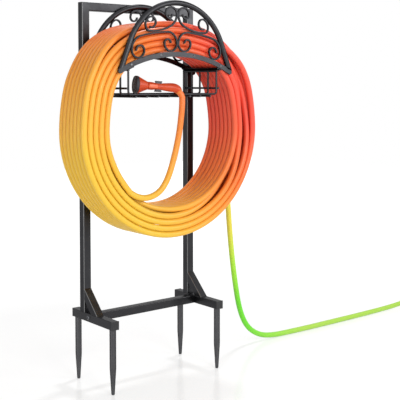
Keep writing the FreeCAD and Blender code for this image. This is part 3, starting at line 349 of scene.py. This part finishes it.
FINISHES = {
    "powder_coat": powder_coat("satin_black_powder_coat", shade=58, rim=0.26),
    "bolt_black": bolt_black(),
    "zinc_steel": zinc_steel(),
    "cap_plastic": cap_plastic(),
    "hose_pvc": hose_skin(),
    "nozzle_shell": nozzle_shell(),
    "nozzle_rubber": nozzle_rubber(),
    "nozzle_dark": nozzle_dark(),
    "connector_brass": connector_brass(),
}
PANEL_FINISH = nozzle_panel()
COLLAR_FINISH = collar_plastic()
BAR_COAT = powder_coat("satin_black_bar_coat", shade=58, rim=0.7)
# coats of the frame's own pieces, by the last word of their names
COATS = {
    # the spikes' lighter paint is a painted highlight, standing in for the bright middle they catch
    "spike": powder_coat("lighter_spike_coat_painted_highlight", shade=82, rim=0.0),
    # the scrolls' darker paint is painted shade, dimming the lamps' reflection on them
    "scrolls": powder_coat("darker_scroll_coat_painted_shade", shade=42, rim=0.2),
    "bar": BAR_COAT,
    "foot": BAR_COAT,
    # uprights and braces get a painted highlight along their corners
    "upright": powder_coat("satin_black_post_coat", shade=58, rim=0.5, highlight_edges=UPRIGHT_FRONT),
    "brace": powder_coat("satin_black_brace_coat", shade=58, rim=0.5, highlight_edges=BRACE_FRONT),
}

for part in frame["record"]["subparts"]:
    node = part["node"]
    finish = COATS.get(node.split("_")[-1], FINISHES[part["material_slot"]])
    nodes[node].data.materials.clear()
    nodes[node].data.materials.append(finish)


# Modelling by hand
SAME_PLACE = 1e-6
# edges that turn more than so many degrees stay sharp
EDGE = 40
SOFT_EDGE = 50
CRISP_EDGE = 35


def deselect():
    """Leave edit mode and select nothing."""
    if bpy.context.object and bpy.context.object.mode != "OBJECT":
        bpy.ops.object.mode_set(mode="OBJECT")
    bpy.ops.object.select_all(action="DESELECT")


def only(piece):
    """Make a piece the one that is selected and active."""
    deselect()
    piece.select_set(True)
    bpy.context.view_layer.objects.active = piece
    return piece


def named(name):
    """Name the active piece and its mesh."""
    piece = bpy.context.object
    piece.name = name
    piece.data.name = name
    return piece


def settle(piece, place):
    """Put a piece in its place and leave its object at the origin."""
    only(piece)
    piece.matrix_world = place @ piece.matrix_world
    bpy.ops.object.transform_apply(location=True, rotation=True, scale=True)
    return piece


def cut_out(piece, tool):
    """Cut the shape of a tool out of a piece, and take the tool away."""
    only(piece)
    cut = piece.modifiers.new("cut", "BOOLEAN")
    cut.object = tool
    cut.operation = "DIFFERENCE"
    cut.solver = "EXACT"
    bpy.ops.object.modifier_apply(modifier=cut.name)
    only(tool)
    bpy.ops.object.delete()


def smooth(piece, degrees=EDGE):
    """Shade a piece smooth, but for its sharp edges."""
    only(piece)
    bpy.ops.object.shade_smooth_by_angle(angle=math.radians(degrees))
    return piece


def finish_piece(piece, slot, body, replaced=(), material=None):
    """Give a piece its finish and its body, and hide the nodes it stands for."""
    piece.data.materials.clear()
    piece.data.materials.append(material or FINISHES[slot])
    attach(piece, body)
    if replaced:
        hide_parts(*replaced)
    return piece


def join(name, pieces):
    """Make several pieces one."""
    deselect()
    for piece in pieces:
        piece.select_set(True)
    bpy.context.view_layer.objects.active = pieces[0]
    bpy.ops.object.join()
    return named(name)


def copy_of(piece, place):
    """A copy with its own mesh, moved by a matrix."""
    twin = piece.copy()
    twin.data = piece.data.copy()
    bpy.context.scene.collection.objects.link(twin)
    return settle(twin, place)


def spread(name, first, places):
    """Put a piece and its copies in their places, as one piece."""
    rest = [copy_of(first, place) for place in places[1:]]
    settle(first, places[0])
    return join(name, [first] + rest)


def open_up(name):
    """Name a new piece, settle it and open it in edit mode with all its points selected."""
    piece = named(name)
    bpy.ops.object.transform_apply(location=True, rotation=True, scale=True)
    bpy.ops.object.mode_set(mode="EDIT")
    bpy.ops.mesh.select_mode(type="VERT")
    bpy.ops.mesh.select_all(action="SELECT")
    return piece


def close(piece):
    """Turn all faces outwards and leave edit mode."""
    bpy.ops.mesh.select_all(action="SELECT")
    bpy.ops.mesh.normals_make_consistent(inside=False)
    bpy.ops.object.mode_set(mode="OBJECT")
    return piece


def weld(piece):
    """In edit mode, merge points that meet and fill open ends, then close the piece."""
    bpy.ops.mesh.select_all(action="SELECT")
    bpy.ops.mesh.remove_doubles(threshold=SAME_PLACE)
    bpy.ops.mesh.fill_holes(sides=0)
    return close(piece)


def lathe(name, rings, sides, closed=True):
    """A body drawn out ring by ring along Z; each ring is (z, radius), or (z, radius, y, tilt degrees)."""
    rings = [(*ring, 0.0, 0.0)[:4] for ring in rings]
    deselect()
    height, radius, lift, tilt = rings[0]
    fill = "NGON" if closed else "NOTHING"
    bpy.ops.mesh.primitive_circle_add(vertices=sides, radius=radius, fill_type=fill,
                                      location=(0, lift, height), rotation=(math.radians(tilt), 0, 0))
    piece = open_up(name)
    for (z, r, y, lean), (last_z, last_r, last_y, last_lean) in zip(rings[1:], rings):
        centre = (0, y, z)
        bpy.ops.mesh.extrude_region_move(TRANSFORM_OT_translate={"value": (0, y - last_y, z - last_z)})
        share = r / last_r
        bpy.ops.transform.resize(value=(share, share, share), center_override=centre)
        if lean != last_lean:
            bpy.ops.transform.rotate(value=math.radians(last_lean - lean), orient_axis="X",
                                     center_override=centre)
    return close(piece)


# Hose: one unbroken line from the nozzle through the coil and along the ground to the tap connector
HOSE_DIAMETER = 0.0172
TURNS = 8
TURN_PITCH = 0.0192
LAYER_PITCH = 0.01825
OUTER_LAYER = 0.309
REAR_TURN = UPRIGHT_Y - 0.0476
CROWN_SHIFT = 0.140
SHOULDER_BULGE = 0.017
COIL_STEP = 15
# degrees at which outer and inner turns step forward and the inner layer begins, and the length of a step
ROUND = 360
OUTER_STEP = 115
INNER_STEP = 250
INNER_START = 150
CROSSING = 40
# the hidden layers: where each begins, where it starts to sweep across, its rounds, and which way it goes
SWEEP = 280
HIDDEN_LAYERS = ((25, 340, 2, -1), (170, 490, 2, 1), (315, 635, 3, -1))
# the last turn leaves the coil at an angle, drawn in a little on its last stretch
EXIT_ANGLE = 221
EXIT_EASE = 0.005
EXIT_EASE_FROM = 41
EXIT_EASE_OVER = 40


def coil_contour():
    """The coil's outline as arcs: each has its end angle, its middle and what it adds to the radius."""
    crown = CROWN_SHIFT
    bulge = SHOULDER_BULGE
    root = math.sqrt(2)
    shoulder = (2 * crown * bulge - bulge ** 2) / (2 * ((root - 1) * crown - root * bulge))
    edge = math.degrees(math.atan2(shoulder, shoulder + crown))
    drawn_in = bulge - shoulder * root
    return (
        (edge, -crown, 0, crown), (90 - edge, shoulder, shoulder, drawn_in), (90 + edge, 0, -crown, crown),
        (180 - edge, -shoulder, shoulder, drawn_in), (180, crown, 0, crown), (ROUND, 0, 0, 0),
    )


CONTOUR = coil_contour()
# a smooth spline runs inside the points of a circle by this share
SPLINE_SHARE = 0.75 + 0.25 * math.cos(math.radians(COIL_STEP))


def on_coil(degrees, radius, y):
    """A point of the coil, by its angle and the radius of its layer."""
    _, x, z, more = next(arc for arc in CONTOUR if degrees % ROUND < arc[0])
    turn = math.radians(degrees)
    reach = (radius + more) / SPLINE_SHARE
    return Vector((x + reach * math.cos(turn), y, COIL_MIDDLE + z + reach * math.sin(turn)))


def winding():
    """Steps of the winding: (from degrees, to degrees, layers inward, turns forward)."""
    steps = []

    def add(start, over, inward, forward):
        steps.append((start, start + over, inward, forward))

    forward = TURNS - 1
    for turn in range(forward):
        add(ROUND * turn + OUTER_STEP, CROSSING, 0, 1)
    at = ROUND * forward
    for start, sweep, rounds, way in HIDDEN_LAYERS:
        add(at + start, CROSSING, 1, 0)
        add(at + sweep, SWEEP, 0, way * forward)
        at += ROUND * rounds
    add(at + INNER_START, CROSSING, 1, 0)
    for turn in range(forward):
        add(at + ROUND * turn + INNER_STEP, CROSSING, 0, 1)
    return steps, at + ROUND * forward + EXIT_ANGLE


def held(share):
    """A share kept between nought and one."""
    return max(0.0, min(1.0, share))


def ease(share):
    """A share that starts and ends gently."""
    return (1 - math.cos(math.pi * held(share))) / 2


def coil_route():
    """Points of the whole winding, from the rear of the outer layer to the inner layer's exit."""
    steps, finish = winding()
    points = []
    for degrees in [*range(0, finish, COIL_STEP), finish]:
        radius = OUTER_LAYER
        y = REAR_TURN
        for start, end, inward, forward in steps:
            share = (degrees - start) / (end - start)
            share = held(share) if abs(forward) > 1 else ease(share)
            radius -= inward * LAYER_PITCH * share
            y -= forward * TURN_PITCH * share
        radius -= EXIT_EASE * ease((degrees - finish + EXIT_EASE_FROM) / EXIT_EASE_OVER)
        points.append(on_coil(degrees, radius, y))
    return points


def ahead(x, y, z):
    """A point given in millimetres; y is counted from the uprights, forwards negative."""
    return Vector((x * MM, UPRIGHT_Y + y * MM, z * MM))


# the nozzle lies with its head to the left; its place has its own side, up and spray directions
NOZZLE_YAW = math.radians(19)
NOZZLE_PITCH = math.radians(4.5)
VALVE = ahead(-50.9, -172.5, 884.257)
SPRAY = Vector((-math.cos(NOZZLE_YAW) * math.cos(NOZZLE_PITCH), math.sin(NOZZLE_YAW) * math.cos(NOZZLE_PITCH),
                math.sin(NOZZLE_PITCH)))
NOZZLE_UP = (Vector((0, 0, 1)) - SPRAY * SPRAY.z).normalized()
NOZZLE_SIDE = NOZZLE_UP.cross(SPRAY)
NOZZLE_PLACE = Matrix.Translation(VALVE) @ Matrix((NOZZLE_SIDE, NOZZLE_UP, SPRAY)).transposed().to_4x4()
# where its tail begins, how wide and how far it bends down, and how far collar and straight hose go on
GRIP_TAIL = 45
TAIL_BEND = 24
TAIL_TURN = 46
COLLAR_LENGTH = 5
STRAIGHT_LENGTH = 18


def on_tail(turn, radius=0):
    """A ring of the bent tail for the lathe, after a turn of so many degrees."""
    angle = math.radians(turn)
    back = GRIP_TAIL + TAIL_BEND * math.sin(angle)
    drop = TAIL_BEND * (1 - math.cos(angle))
    return -back * MM, radius * MM, -drop * MM, -turn


TAIL_Z, _, TAIL_Y, _ = on_tail(TAIL_TURN)
TAIL_END = Vector((0, TAIL_Y, TAIL_Z))
HOSE_WAY = Vector((0, -math.sin(math.radians(TAIL_TURN)), -math.cos(math.radians(TAIL_TURN))))
COLLAR_END = NOZZLE_PLACE @ (TAIL_END + HOSE_WAY * COLLAR_LENGTH * MM)
STRAIGHT_END = NOZZLE_PLACE @ (TAIL_END + HOSE_WAY * STRAIGHT_LENGTH * MM)
NOZZLE_ROUTE = (
    (17, -198.5, 845), (15.5, -199.5, 824), (12.5, -199.5, 798), (7, -199, 755), (-6, -197.5, 696),
    (-27, -195.5, 630), (-46, -193, 595), (-64.5, -191, 577.5), (-82.8, -189, 569), (-102.4, -187, 565),
    (-121, -185, 566.5), (-138, -183.5, 572),
)
# how far the hose goes straight on from the coil's exit
LEAD_OUT = 13
FLOOR_ROUTE = (
    (309, -47.6, 740.8),
    (309.5, -47, 690), (315.5, -45, 610), (329, -40, 515), (343, -34, 410), (359, -29, 310), (379, -23, 215),
    (404, -16, 125), (440, -12, 60), (498, -11, 21), (565, -13, 9.2), (640, -16, 8.7), (735, -19, 8.7),
    (850, -19, 8.7), (970, -18.5, 8.7), (1080, -17, 8.7), (1195, -17, 10.5), (1262, -18, 15.3),
    (1290, -18, 15.3),
)
# the flat sides of the drawn tube lie inside its round section by this share
BEVEL_SHARE = 1.045
HOSE_NODES = ("hose_coil", "hose_coil_core", "hose_nozzle_run", "hose_floor_run")


def hose(nozzle):
    """The whole hose, with the nozzle's pieces on its near end and the tap connector on its far end."""
    coil = coil_route()
    turn = math.radians(EXIT_ANGLE)
    onward = Vector((-math.sin(turn), 0, math.cos(turn)))
    leave = coil[-1] + onward * HOSE_DIAMETER
    route = [COLLAR_END, STRAIGHT_END]
    route += [ahead(*point) for point in NOZZLE_ROUTE]
    route += [leave + onward * LEAD_OUT * MM, leave]
    route += reversed(coil)
    route += [ahead(*point) for point in FLOOR_ROUTE]
    curve = bpy.data.curves.new("garden_hose", "CURVE")
    curve.dimensions = "3D"
    curve.resolution_u = 5
    curve.bevel_depth = HOSE_DIAMETER / 2 * BEVEL_SHARE
    curve.bevel_resolution = 6
    curve.use_fill_caps = True
    curve.twist_mode = "MINIMUM"
    spline = curve.splines.new("NURBS")
    spline.points.add(len(route) - 1)
    for point, place in zip(spline.points, route):
        point.co = (*place, 1.0)
    spline.order_u = 3
    spline.use_endpoint_u = True
    spline.use_smooth = True
    piece = bpy.data.objects.new("garden_hose", curve)
    bpy.context.scene.collection.objects.link(piece)
    finish_piece(piece, "hose_pvc", "stand", HOSE_NODES)


# Hanger: the two arches and the basket's hoops as smooth round rods
FRONT_PANEL = UPRIGHT_Y - 0.199
REAR_PANEL = UPRIGHT_Y - 0.0207
ARCH_MIDDLE = 0.9478
ARCH_RADIUS = 0.178
ARCH_ROD = 0.016
ARCH_SIDES = 28
ARCH_STEPS = 56
LEG_SPLAY = math.radians(22)
LEG_DROP = 0.11
LEG_FOOT = 0.196
BAND_MIDDLE = 0.5516
BAND_RADIUS = 0.426
BAND_HEIGHT = 0.014
BAND_THICK = 0.004
WELD_GAP = 0.0002


def select_where(piece, test):
    """In edit mode, select the faces whose middle passes a test."""
    bpy.ops.mesh.select_all(action="DESELECT")
    bpy.ops.mesh.select_mode(type="FACE")
    sketch = bmesh.from_edit_mesh(piece.data)
    for face in sketch.faces:
        face.select = test(face.calc_center_median())
    sketch.select_flush_mode()
    bmesh.update_edit_mesh(piece.data)


def start_rod(name, radius, sides, place, turn):
    """The first ring of a rod, ready to be drawn out in edit mode; turn leans its axis in the XZ plane."""
    deselect()
    bpy.ops.mesh.primitive_circle_add(vertices=sides, radius=radius, location=place, rotation=(0, turn, 0))
    return open_up(name)


def draw_out(x, z):
    """Draw the rod's open end on in a straight line."""
    bpy.ops.mesh.extrude_region_move(TRANSFORM_OT_translate={"value": (x, 0, z)})


def bend(degrees, x, y, z, steps):
    """Bend the rod's open end about a point; positive goes from left over the top to right."""
    bpy.ops.mesh.spin(steps=steps, angle=math.radians(-degrees), center=(x, y, z), axis=(0, 1, 0))


def arch(name, y):
    """A round top with splayed legs, cut to stand on the band."""
    side_x = ARCH_RADIUS * math.cos(LEG_SPLAY)
    side_z = ARCH_MIDDLE + ARCH_RADIUS * math.sin(LEG_SPLAY)
    out = LEG_DROP * math.tan(LEG_SPLAY)
    rod = start_rod(name, ARCH_ROD / 2, ARCH_SIDES, (-side_x - out, y, side_z - LEG_DROP), LEG_SPLAY)
    draw_out(out, LEG_DROP)
    bend(180 - 2 * math.degrees(LEG_SPLAY), 0, y, ARCH_MIDDLE, ARCH_STEPS)
    draw_out(out, -LEG_DROP)
    rest = BAND_RADIUS + BAND_HEIGHT / 2 + WELD_GAP
    foot_z = math.sqrt(rest ** 2 - LEG_FOOT ** 2)
    for side in (-1, 1):
        foot_x = side * LEG_FOOT
        select_where(rod, lambda middle: middle.x * side > side_x + out / 4 and middle.z < side_z)
        bpy.ops.mesh.bisect(plane_co=(foot_x, y, BAND_MIDDLE + foot_z), plane_no=(foot_x, 0, foot_z),
                            use_fill=True, clear_inner=True)
    return smooth(weld(rod))


HOOP_HALF = 0.1615
HOOP_CORNER = 0.009
CORNER_STEPS = 8
WIRE_RADIUS = 0.003
WIRE_SIDES = 14
BASKET_RIM = 0.93098
BASKET_FLOOR = 0.86148
HOOP_TOP = BASKET_RIM - WIRE_RADIUS - WELD_GAP
HOOP_FRONT = UPRIGHT_Y - 0.1815
HOOP_REAR = UPRIGHT_Y - 0.0219
HOOPS = 5


def basket_hoops():
    """Five bent wires that make the basket's sides and floor."""
    straight = HOOP_HALF - HOOP_CORNER
    rise = HOOP_TOP - BASKET_FLOOR - HOOP_CORNER
    hoop = start_rod("basket_hoop", WIRE_RADIUS, WIRE_SIDES, (-HOOP_HALF, 0, HOOP_TOP), 0)
    draw_out(0, -rise)
    bend(-90, -straight, 0, BASKET_FLOOR + HOOP_CORNER, CORNER_STEPS)
    draw_out(2 * straight, 0)
    bend(-90, straight, 0, BASKET_FLOOR + HOOP_CORNER, CORNER_STEPS)
    draw_out(0, rise)
    smooth(weld(hoop))
    step = (HOOP_REAR - HOOP_FRONT) / (HOOPS - 1)
    places = [Matrix.Translation((0, HOOP_FRONT + step * index, 0)) for index in range(HOOPS)]
    return spread("basket_wire_hoops", hoop, places)


# Bolts and rivets
INNER_SLAT = 0.0605
OUTER_SLAT = 0.1626
RIVET_HEAD = 0.0045
RIVET_HEIGHT = 0.0022
BOLT_HEAD = 0.0065
BOLT_HEIGHT = 0.004
CROSS_BAR_Y = UPRIGHT_Y - 0.035
CROSS_BAR_Z = FOOT_TOP - TUBE / 2
TOP_BOLT_Z = FRAME_TOP - TUBE / 2
TOP_BOLT_X = math.sqrt(ARCH_RADIUS ** 2 - (TOP_BOLT_Z - ARCH_MIDDLE) ** 2)
LEG_BOLT_X = 0.189
LEG_BOLT_Z = ARCH_MIDDLE + (ARCH_RADIUS / math.cos(LEG_SPLAY) - LEG_BOLT_X) / math.tan(LEG_SPLAY)
# a head's own +Z turned to face each way
TO_FRONT = Matrix.Rotation(math.radians(90), 4, "X")
TO_REAR = Matrix.Rotation(math.radians(-90), 4, "X")
TO_LEFT = Matrix.Rotation(math.radians(-90), 4, "Y")
TO_RIGHT = Matrix.Rotation(math.radians(90), 4, "Y")


def rivets():
    """Domed rivet heads on both bands, over the ends of the slats."""
    r, h = RIVET_HEAD, RIVET_HEIGHT
    head = lathe("rivet_head", [(0, r * 0.96), (h * 0.22, r), (h * 0.5, r * 0.9), (h * 0.78, r * 0.66),
                                (h * 0.94, r * 0.36), (h, r * 0.1)], sides=20)
    smooth(head, SOFT_EDGE)
    places = []
    for x in (-OUTER_SLAT, -INNER_SLAT, INNER_SLAT, OUTER_SLAT):
        z = BAND_MIDDLE + math.sqrt(BAND_RADIUS ** 2 - x ** 2)
        places.append(Matrix.Translation((x, FRONT_PANEL - BAND_THICK / 2, z)) @ TO_FRONT)
        places.append(Matrix.Translation((x, REAR_PANEL + BAND_THICK / 2, z)) @ TO_REAR)
    return spread("band_rivets", head, places)


def bolt_head(name):
    """A low domed head with a round socket, on a thin flange."""
    r, h = BOLT_HEAD, BOLT_HEIGHT
    head = lathe(name, [(0, r), (h * 0.2, r), (h * 0.3, r * 0.86), (h * 0.6, r * 0.82), (h * 0.85, r * 0.7),
                        (h, r * 0.5), (h, r * 0.38), (h * 0.45, r * 0.36)], sides=24)
    return smooth(head, CRISP_EDGE)


def frame_bolts():
    """Heads on the outside of both feet, at the ends of the cross bar."""
    places = [
        Matrix.Translation((-FRAME_HALF, CROSS_BAR_Y, CROSS_BAR_Z)) @ TO_LEFT,
        Matrix.Translation((FRAME_HALF, CROSS_BAR_Y, CROSS_BAR_Z)) @ TO_RIGHT,
    ]
    return spread("cross_bar_bolt_heads", bolt_head("cross_bar_bolt_head"), places)


def arch_bolts():
    """Heads on the back of the frame, where it holds the rear arch."""
    places = []
    for side in (-1, 1):
        for x, z in ((LEG_BOLT_X, LEG_BOLT_Z), (TOP_BOLT_X, TOP_BOLT_Z)):
            places.append(Matrix.Translation((side * x, UPRIGHT_Y + TUBE / 2, z)) @ TO_REAR)
    return spread("hanger_bolt_heads", bolt_head("hanger_bolt_head"), places)


def hanger_and_basket():
    """The rods, wires and heads that take the place of plainer nodes."""
    finish_piece(arch("front_arch_rod", FRONT_PANEL), "powder_coat", "stand", ("front_arch",))
    finish_piece(arch("rear_arch_rod", REAR_PANEL), "powder_coat", "stand", ("rear_arch",))
    finish_piece(basket_hoops(), "powder_coat", "stand", ("basket_hoops",))
    finish_piece(rivets(), "bolt_black", "stand", ("slat_rivets",))
    finish_piece(frame_bolts(), "bolt_black", "stand", ("cross_bar_bolts",))
    finish_piece(arch_bolts(), "bolt_black", "stand", ("hanger_bolts",))


# Spray nozzle: modelled along its own axis from the valve, spray along +Z, then laid in the basket
GRIP_RADIUS = 10
VALVE_TRAVEL = 2
VALVE_GAP = 0.3
VALVE_PAD = 3.5
PAD_OUT = 10.4
PAD_AHEAD = 17.5
FACE_AT = 70.4
FACE_DOME = 3.6
FACE_RADIUS = 21.7
DOME_RADIUS = 19.6
# each ring of jets: its radius and how many it has
JET_RINGS = ((0, 1), (5.2, 6), (10.4, 12), (15.6, 18))
JET_SUNK = 0.2


def rings_mm(*rings):
    """Rings for the lathe, from millimetres."""
    return [(z * MM, radius * MM) for z, radius in rings]


def rounded_block(name, x, y, z, radius):
    """A block in millimetres with all its edges rounded."""
    deselect()
    bpy.ops.mesh.primitive_cube_add(size=1)
    bpy.context.object.scale = (x * MM, y * MM, z * MM)
    block = open_up(name)
    bpy.ops.mesh.bevel(offset=radius * MM, segments=4, affect="EDGES")
    bpy.ops.object.mode_set(mode="OBJECT")
    return smooth(block)


def nozzle_handle():
    """A grip that swells to its tail and droops into the hose, with a seam at its neck."""
    grip = rings_mm(
        (31.8, 10.2), (31.4, 11.0), (30.4, 11.4), (25, 11.5), (19, 11.4), (15, 11), (12.5, 10.3),
        (11, GRIP_RADIUS), (-11, GRIP_RADIUS), (-12.5, 10.3), (-18, 11), (-26, 11.8), (-34, 12.6),
        (-40, 12.9), (-GRIP_TAIL, 13.0))
    tail = [on_tail(turn, radius) for turn, radius in
            ((10, 12.9), (20, 12.8), (30, 12.6), (40, 12.2), (TAIL_TURN, 11.6))]
    handle = lathe("nozzle_handle", grip + tail, sides=36)
    cut_out(handle, rounded_block("valve_slot", 10.6, 40, 18.6, radius=2))
    return smooth(handle, SOFT_EDGE)


def nozzle_panel_pad():
    """A soft raised pad on the side of the grip."""
    pad = rounded_block("nozzle_side_pad", 4.6, 11, 27, radius=2.1)
    return settle(pad, Matrix.Translation((PAD_OUT * MM, 0, PAD_AHEAD * MM)))


def nozzle_shroud():
    """The bell that widens from the neck to the spray head."""
    bell = lathe("nozzle_bell", rings_mm(
        (32.0, 10.2), (32.4, 11.3), (34.5, 12.2), (38, 13.7), (43, 16.2), (48, 18.6), (52.5, 20.7),
        (56.5, 22.5), (59.3, 23.9), (61.1, 24.7), (61.9, 24.5), (62, 23.4)), sides=48)
    return smooth(bell, SOFT_EDGE)


def nozzle_bumper():
    """A soft ring round the spray head."""
    ring = rings_mm(
        (62.3, 22.2), (62.3, 24.6), (62.8, 25.5), (64, 26.0), (67.5, 26.1), (70.2, 25.8), (71.8, 25.0),
        (72.6, 23.7), (72.5, 22.7), (71.8, 22.2), (66, 22.0), (62.3, 22.2))
    bumper = only(lathe("nozzle_bumper_ring", ring, sides=56, closed=False))
    bpy.ops.object.mode_set(mode="EDIT")
    return smooth(weld(bumper), SOFT_EDGE)


def nozzle_face():
    """The spray face: a low dome in a raised rim, with rings of small jets."""
    def dome(radius):
        return FACE_AT + FACE_DOME * (1 - (radius / DOME_RADIUS) ** 2)

    face = lathe("nozzle_face_disc", rings_mm(
        (62.4, FACE_RADIUS), (FACE_AT + 0.4, FACE_RADIUS), (FACE_AT + 1.1, 21.2), (FACE_AT + 1.1, 20.3),
        *((dome(radius), radius) for radius in (DOME_RADIUS, 16, 12, 8, 4))), sides=56)
    smooth(face, CRISP_EDGE)
    jet = lathe("nozzle_jet", rings_mm((0, 1.25), (0.5, 1.2), (1.1, 0.95), (1.3, 0.6), (1.1, 0.45)), sides=8)
    smooth(jet)
    places = []
    for radius, count in JET_RINGS:
        for index in range(count):
            angle = 2 * math.pi * index / count
            places.append(Matrix.Translation((radius * math.cos(angle) * MM, radius * math.sin(angle) * MM,
                                              (dome(radius) - JET_SUNK) * MM)))
    jets = spread("nozzle_jets", jet, places)
    return join("nozzle_spray_face", [face, jets])


def nozzle_valve():
    """A push button through the grip, with a pad at each end."""
    stem = rounded_block("valve_stem", 10.2, 29, 18.2, radius=1.8)
    pad = rounded_block("valve_pad", 12, VALVE_PAD, 20, radius=1.3)
    rise = (GRIP_RADIUS + VALVE_GAP + VALVE_TRAVEL + VALVE_PAD / 2) * MM
    lower = copy_of(pad, Matrix.Translation((0, -rise, 0)))
    settle(pad, Matrix.Translation((0, rise, 0)))
    return join("nozzle_push_valve", [stem, pad, lower])


def hose_collar():
    """The ribbed ring that holds the hose on the tail."""
    collar = lathe("hose_collar_ring", rings_mm(
        (0, 9.8), (0.2, 10.9), (0.8, 11.2), (1.4, 10.9), (1.6, 10.4), (2.0, 10.9), (2.6, 11.1), (3.4, 10.8),
        (4.4, 10.2), (COLLAR_LENGTH, 9.2)), sides=36)
    return smooth(collar, SOFT_EDGE)


def lay(piece, slot, body, replaced=(), material=None, place=NOZZLE_PLACE):
    """Lay a piece of the nozzle in the basket and finish it."""
    return finish_piece(settle(piece, place), slot, body, replaced, material)


def spray_nozzle():
    """All pieces of the nozzle, on the hose's near end."""
    tail = Matrix.Translation(TAIL_END) @ Matrix.Rotation(math.radians(180 - TAIL_TURN), 4, "X")
    return [
        lay(nozzle_handle(), "nozzle_shell", "stand", ("nozzle_body", "nozzle_tail")),
        lay(nozzle_panel_pad(), "nozzle_shell", "stand", (), PANEL_FINISH),
        lay(nozzle_shroud(), "nozzle_shell", "stand", ("nozzle_shroud",)),
        lay(hose_collar(), "nozzle_shell", "stand", ("hose_collar",), COLLAR_FINISH, NOZZLE_PLACE @ tail),
        lay(nozzle_bumper(), "nozzle_rubber", "spray_dial", ("nozzle_bumper",)),
        lay(nozzle_face(), "nozzle_dark", "spray_dial", ("nozzle_dial",)),
        lay(nozzle_valve(), "nozzle_dark", "spray_valve", ("nozzle_valve",)),
    ]


# Studio: camera, light and floor
LENS = 80.47
SENSOR = 36
SHIFT = -0.17
VIEW_END = 60
EYE = (-1.5871, -2.1911, 0.8909)
LOOK_DOWN = 3.06
LOOK_RIGHT = 38.94
STAND_MIDDLE = (0.0, 0.0, 0.7)
STAND_FOOT = (0.0, 0.0, 0.0)
# each softbox: its name, its place, where it points, its width and height, and its power
SOFTBOXES = (
    ("key_light", (-0.4, -3.0, 1.6), STAND_MIDDLE, 1.2, 1.2, 41),
    ("left_light", (-2.8, -0.9, 0.8), STAND_MIDDLE, 1.2, 1.2, 17),
    ("fill_light", (1.8, -2.3, 1.5), STAND_MIDDLE, 1.2, 1.0, 25),
    ("top_light", (1.0, 0.5, 3.4), STAND_FOOT, 0.3, 0.3, 36),
)
# how much light the white room gives
ROOM_LIGHT = 0.38
FLOOR_SIZE = 12
FLOOR_DROP = 0.0005
FLOOR_GLOW = 1.22
# the floor goes from this share of white near the stand to pure white, between two distances
FLOOR_WHITE = 0.45
FLOOR_NEAR = 0.9
FLOOR_FAR = 2.2


def white_rays(tree):
    """One for the rays that should find a white room: the camera's, reflected and refracted ones."""
    rays = tree.nodes.new("ShaderNodeLightPath")
    value = rays.outputs["Is Camera Ray"]
    for name in ("Is Glossy Ray", "Is Transmission Ray"):
        larger = tree.nodes.new("ShaderNodeMath")
        larger.operation = "MAXIMUM"
        tree.links.new(value, larger.inputs[0])
        tree.links.new(rays.outputs[name], larger.inputs[1])
        value = larger.outputs["Value"]
    return value


def camera():
    """The picture's view: a long lens from the left, a little above the coil's middle."""
    scene = bpy.context.scene
    scene.view_settings.view_transform = "Standard"
    lens = bpy.data.cameras.new("camera")
    lens.lens = LENS
    lens.sensor_width = SENSOR
    lens.shift_y = SHIFT
    lens.clip_end = VIEW_END
    eye = bpy.data.objects.new("camera", lens)
    eye.location = EYE
    eye.rotation_euler = (math.radians(90 - LOOK_DOWN), 0, math.radians(-LOOK_RIGHT))
    scene.collection.objects.link(eye)
    scene.camera = eye


def lights():
    """The softboxes, each turned to where it points."""
    for name, place, target, width, height, power in SOFTBOXES:
        light = bpy.data.lights.new(name, "AREA")
        light.shape = "RECTANGLE"
        light.size = width
        light.size_y = height
        light.energy = power
        lamp = bpy.data.objects.new(name, light)
        lamp.location = place
        aim = Vector(target) - Vector(place)
        lamp.rotation_euler = aim.to_track_quat("-Z", "Y").to_euler()
        bpy.context.scene.collection.objects.link(lamp)


def room():
    """A room that looks white but gives less light than that."""
    world = bpy.data.worlds.new("white_studio")
    bpy.context.scene.world = world
    world.use_nodes = True
    tree = world.node_tree
    walls = tree.nodes["Background"]
    walls.inputs["Color"].default_value = (1, 1, 1, 1)
    strength = tree.nodes.new("ShaderNodeMapRange")
    strength.inputs["To Min"].default_value = ROOM_LIGHT
    strength.inputs["To Max"].default_value = 1.0
    tree.links.new(white_rays(tree), strength.inputs["Value"])
    tree.links.new(strength.outputs["Result"], walls.inputs["Strength"])


def floor():
    """White paper that takes some shade near the stand and glows white farther out."""
    deselect()
    bpy.ops.mesh.primitive_plane_add(size=FLOOR_SIZE, location=(0, 0, -FLOOR_DROP))
    sheet = named("studio_floor")
    paper = Finish("white_floor", (0.9, 0.9, 0.9, 1), roughness=0.18)
    glow = paper.add("ShaderNodeEmission")
    glow.inputs["Strength"].default_value = FLOOR_GLOW
    distance = paper.add("ShaderNodeVectorMath", operation="LENGTH")
    paper.link(paper.place, distance.inputs[0])
    whiter = paper.span(distance.outputs["Value"], FLOOR_NEAR, FLOOR_FAR, FLOOR_WHITE, 1.0)
    blend = paper.add("ShaderNodeMixShader")
    paper.link(paper.math("MULTIPLY", white_rays(paper.tree), whiter), blend.inputs["Fac"])
    paper.link(paper.shader.outputs["BSDF"], blend.inputs[1])
    paper.link(glow.outputs["Emission"], blend.inputs[2])
    paper.link(blend.outputs["Shader"], paper.tree.nodes["Material Output"].inputs["Surface"])
    sheet.data.materials.append(paper.material)


camera()
lights()
room()
floor()
hose(spray_nozzle())
hanger_and_basket()
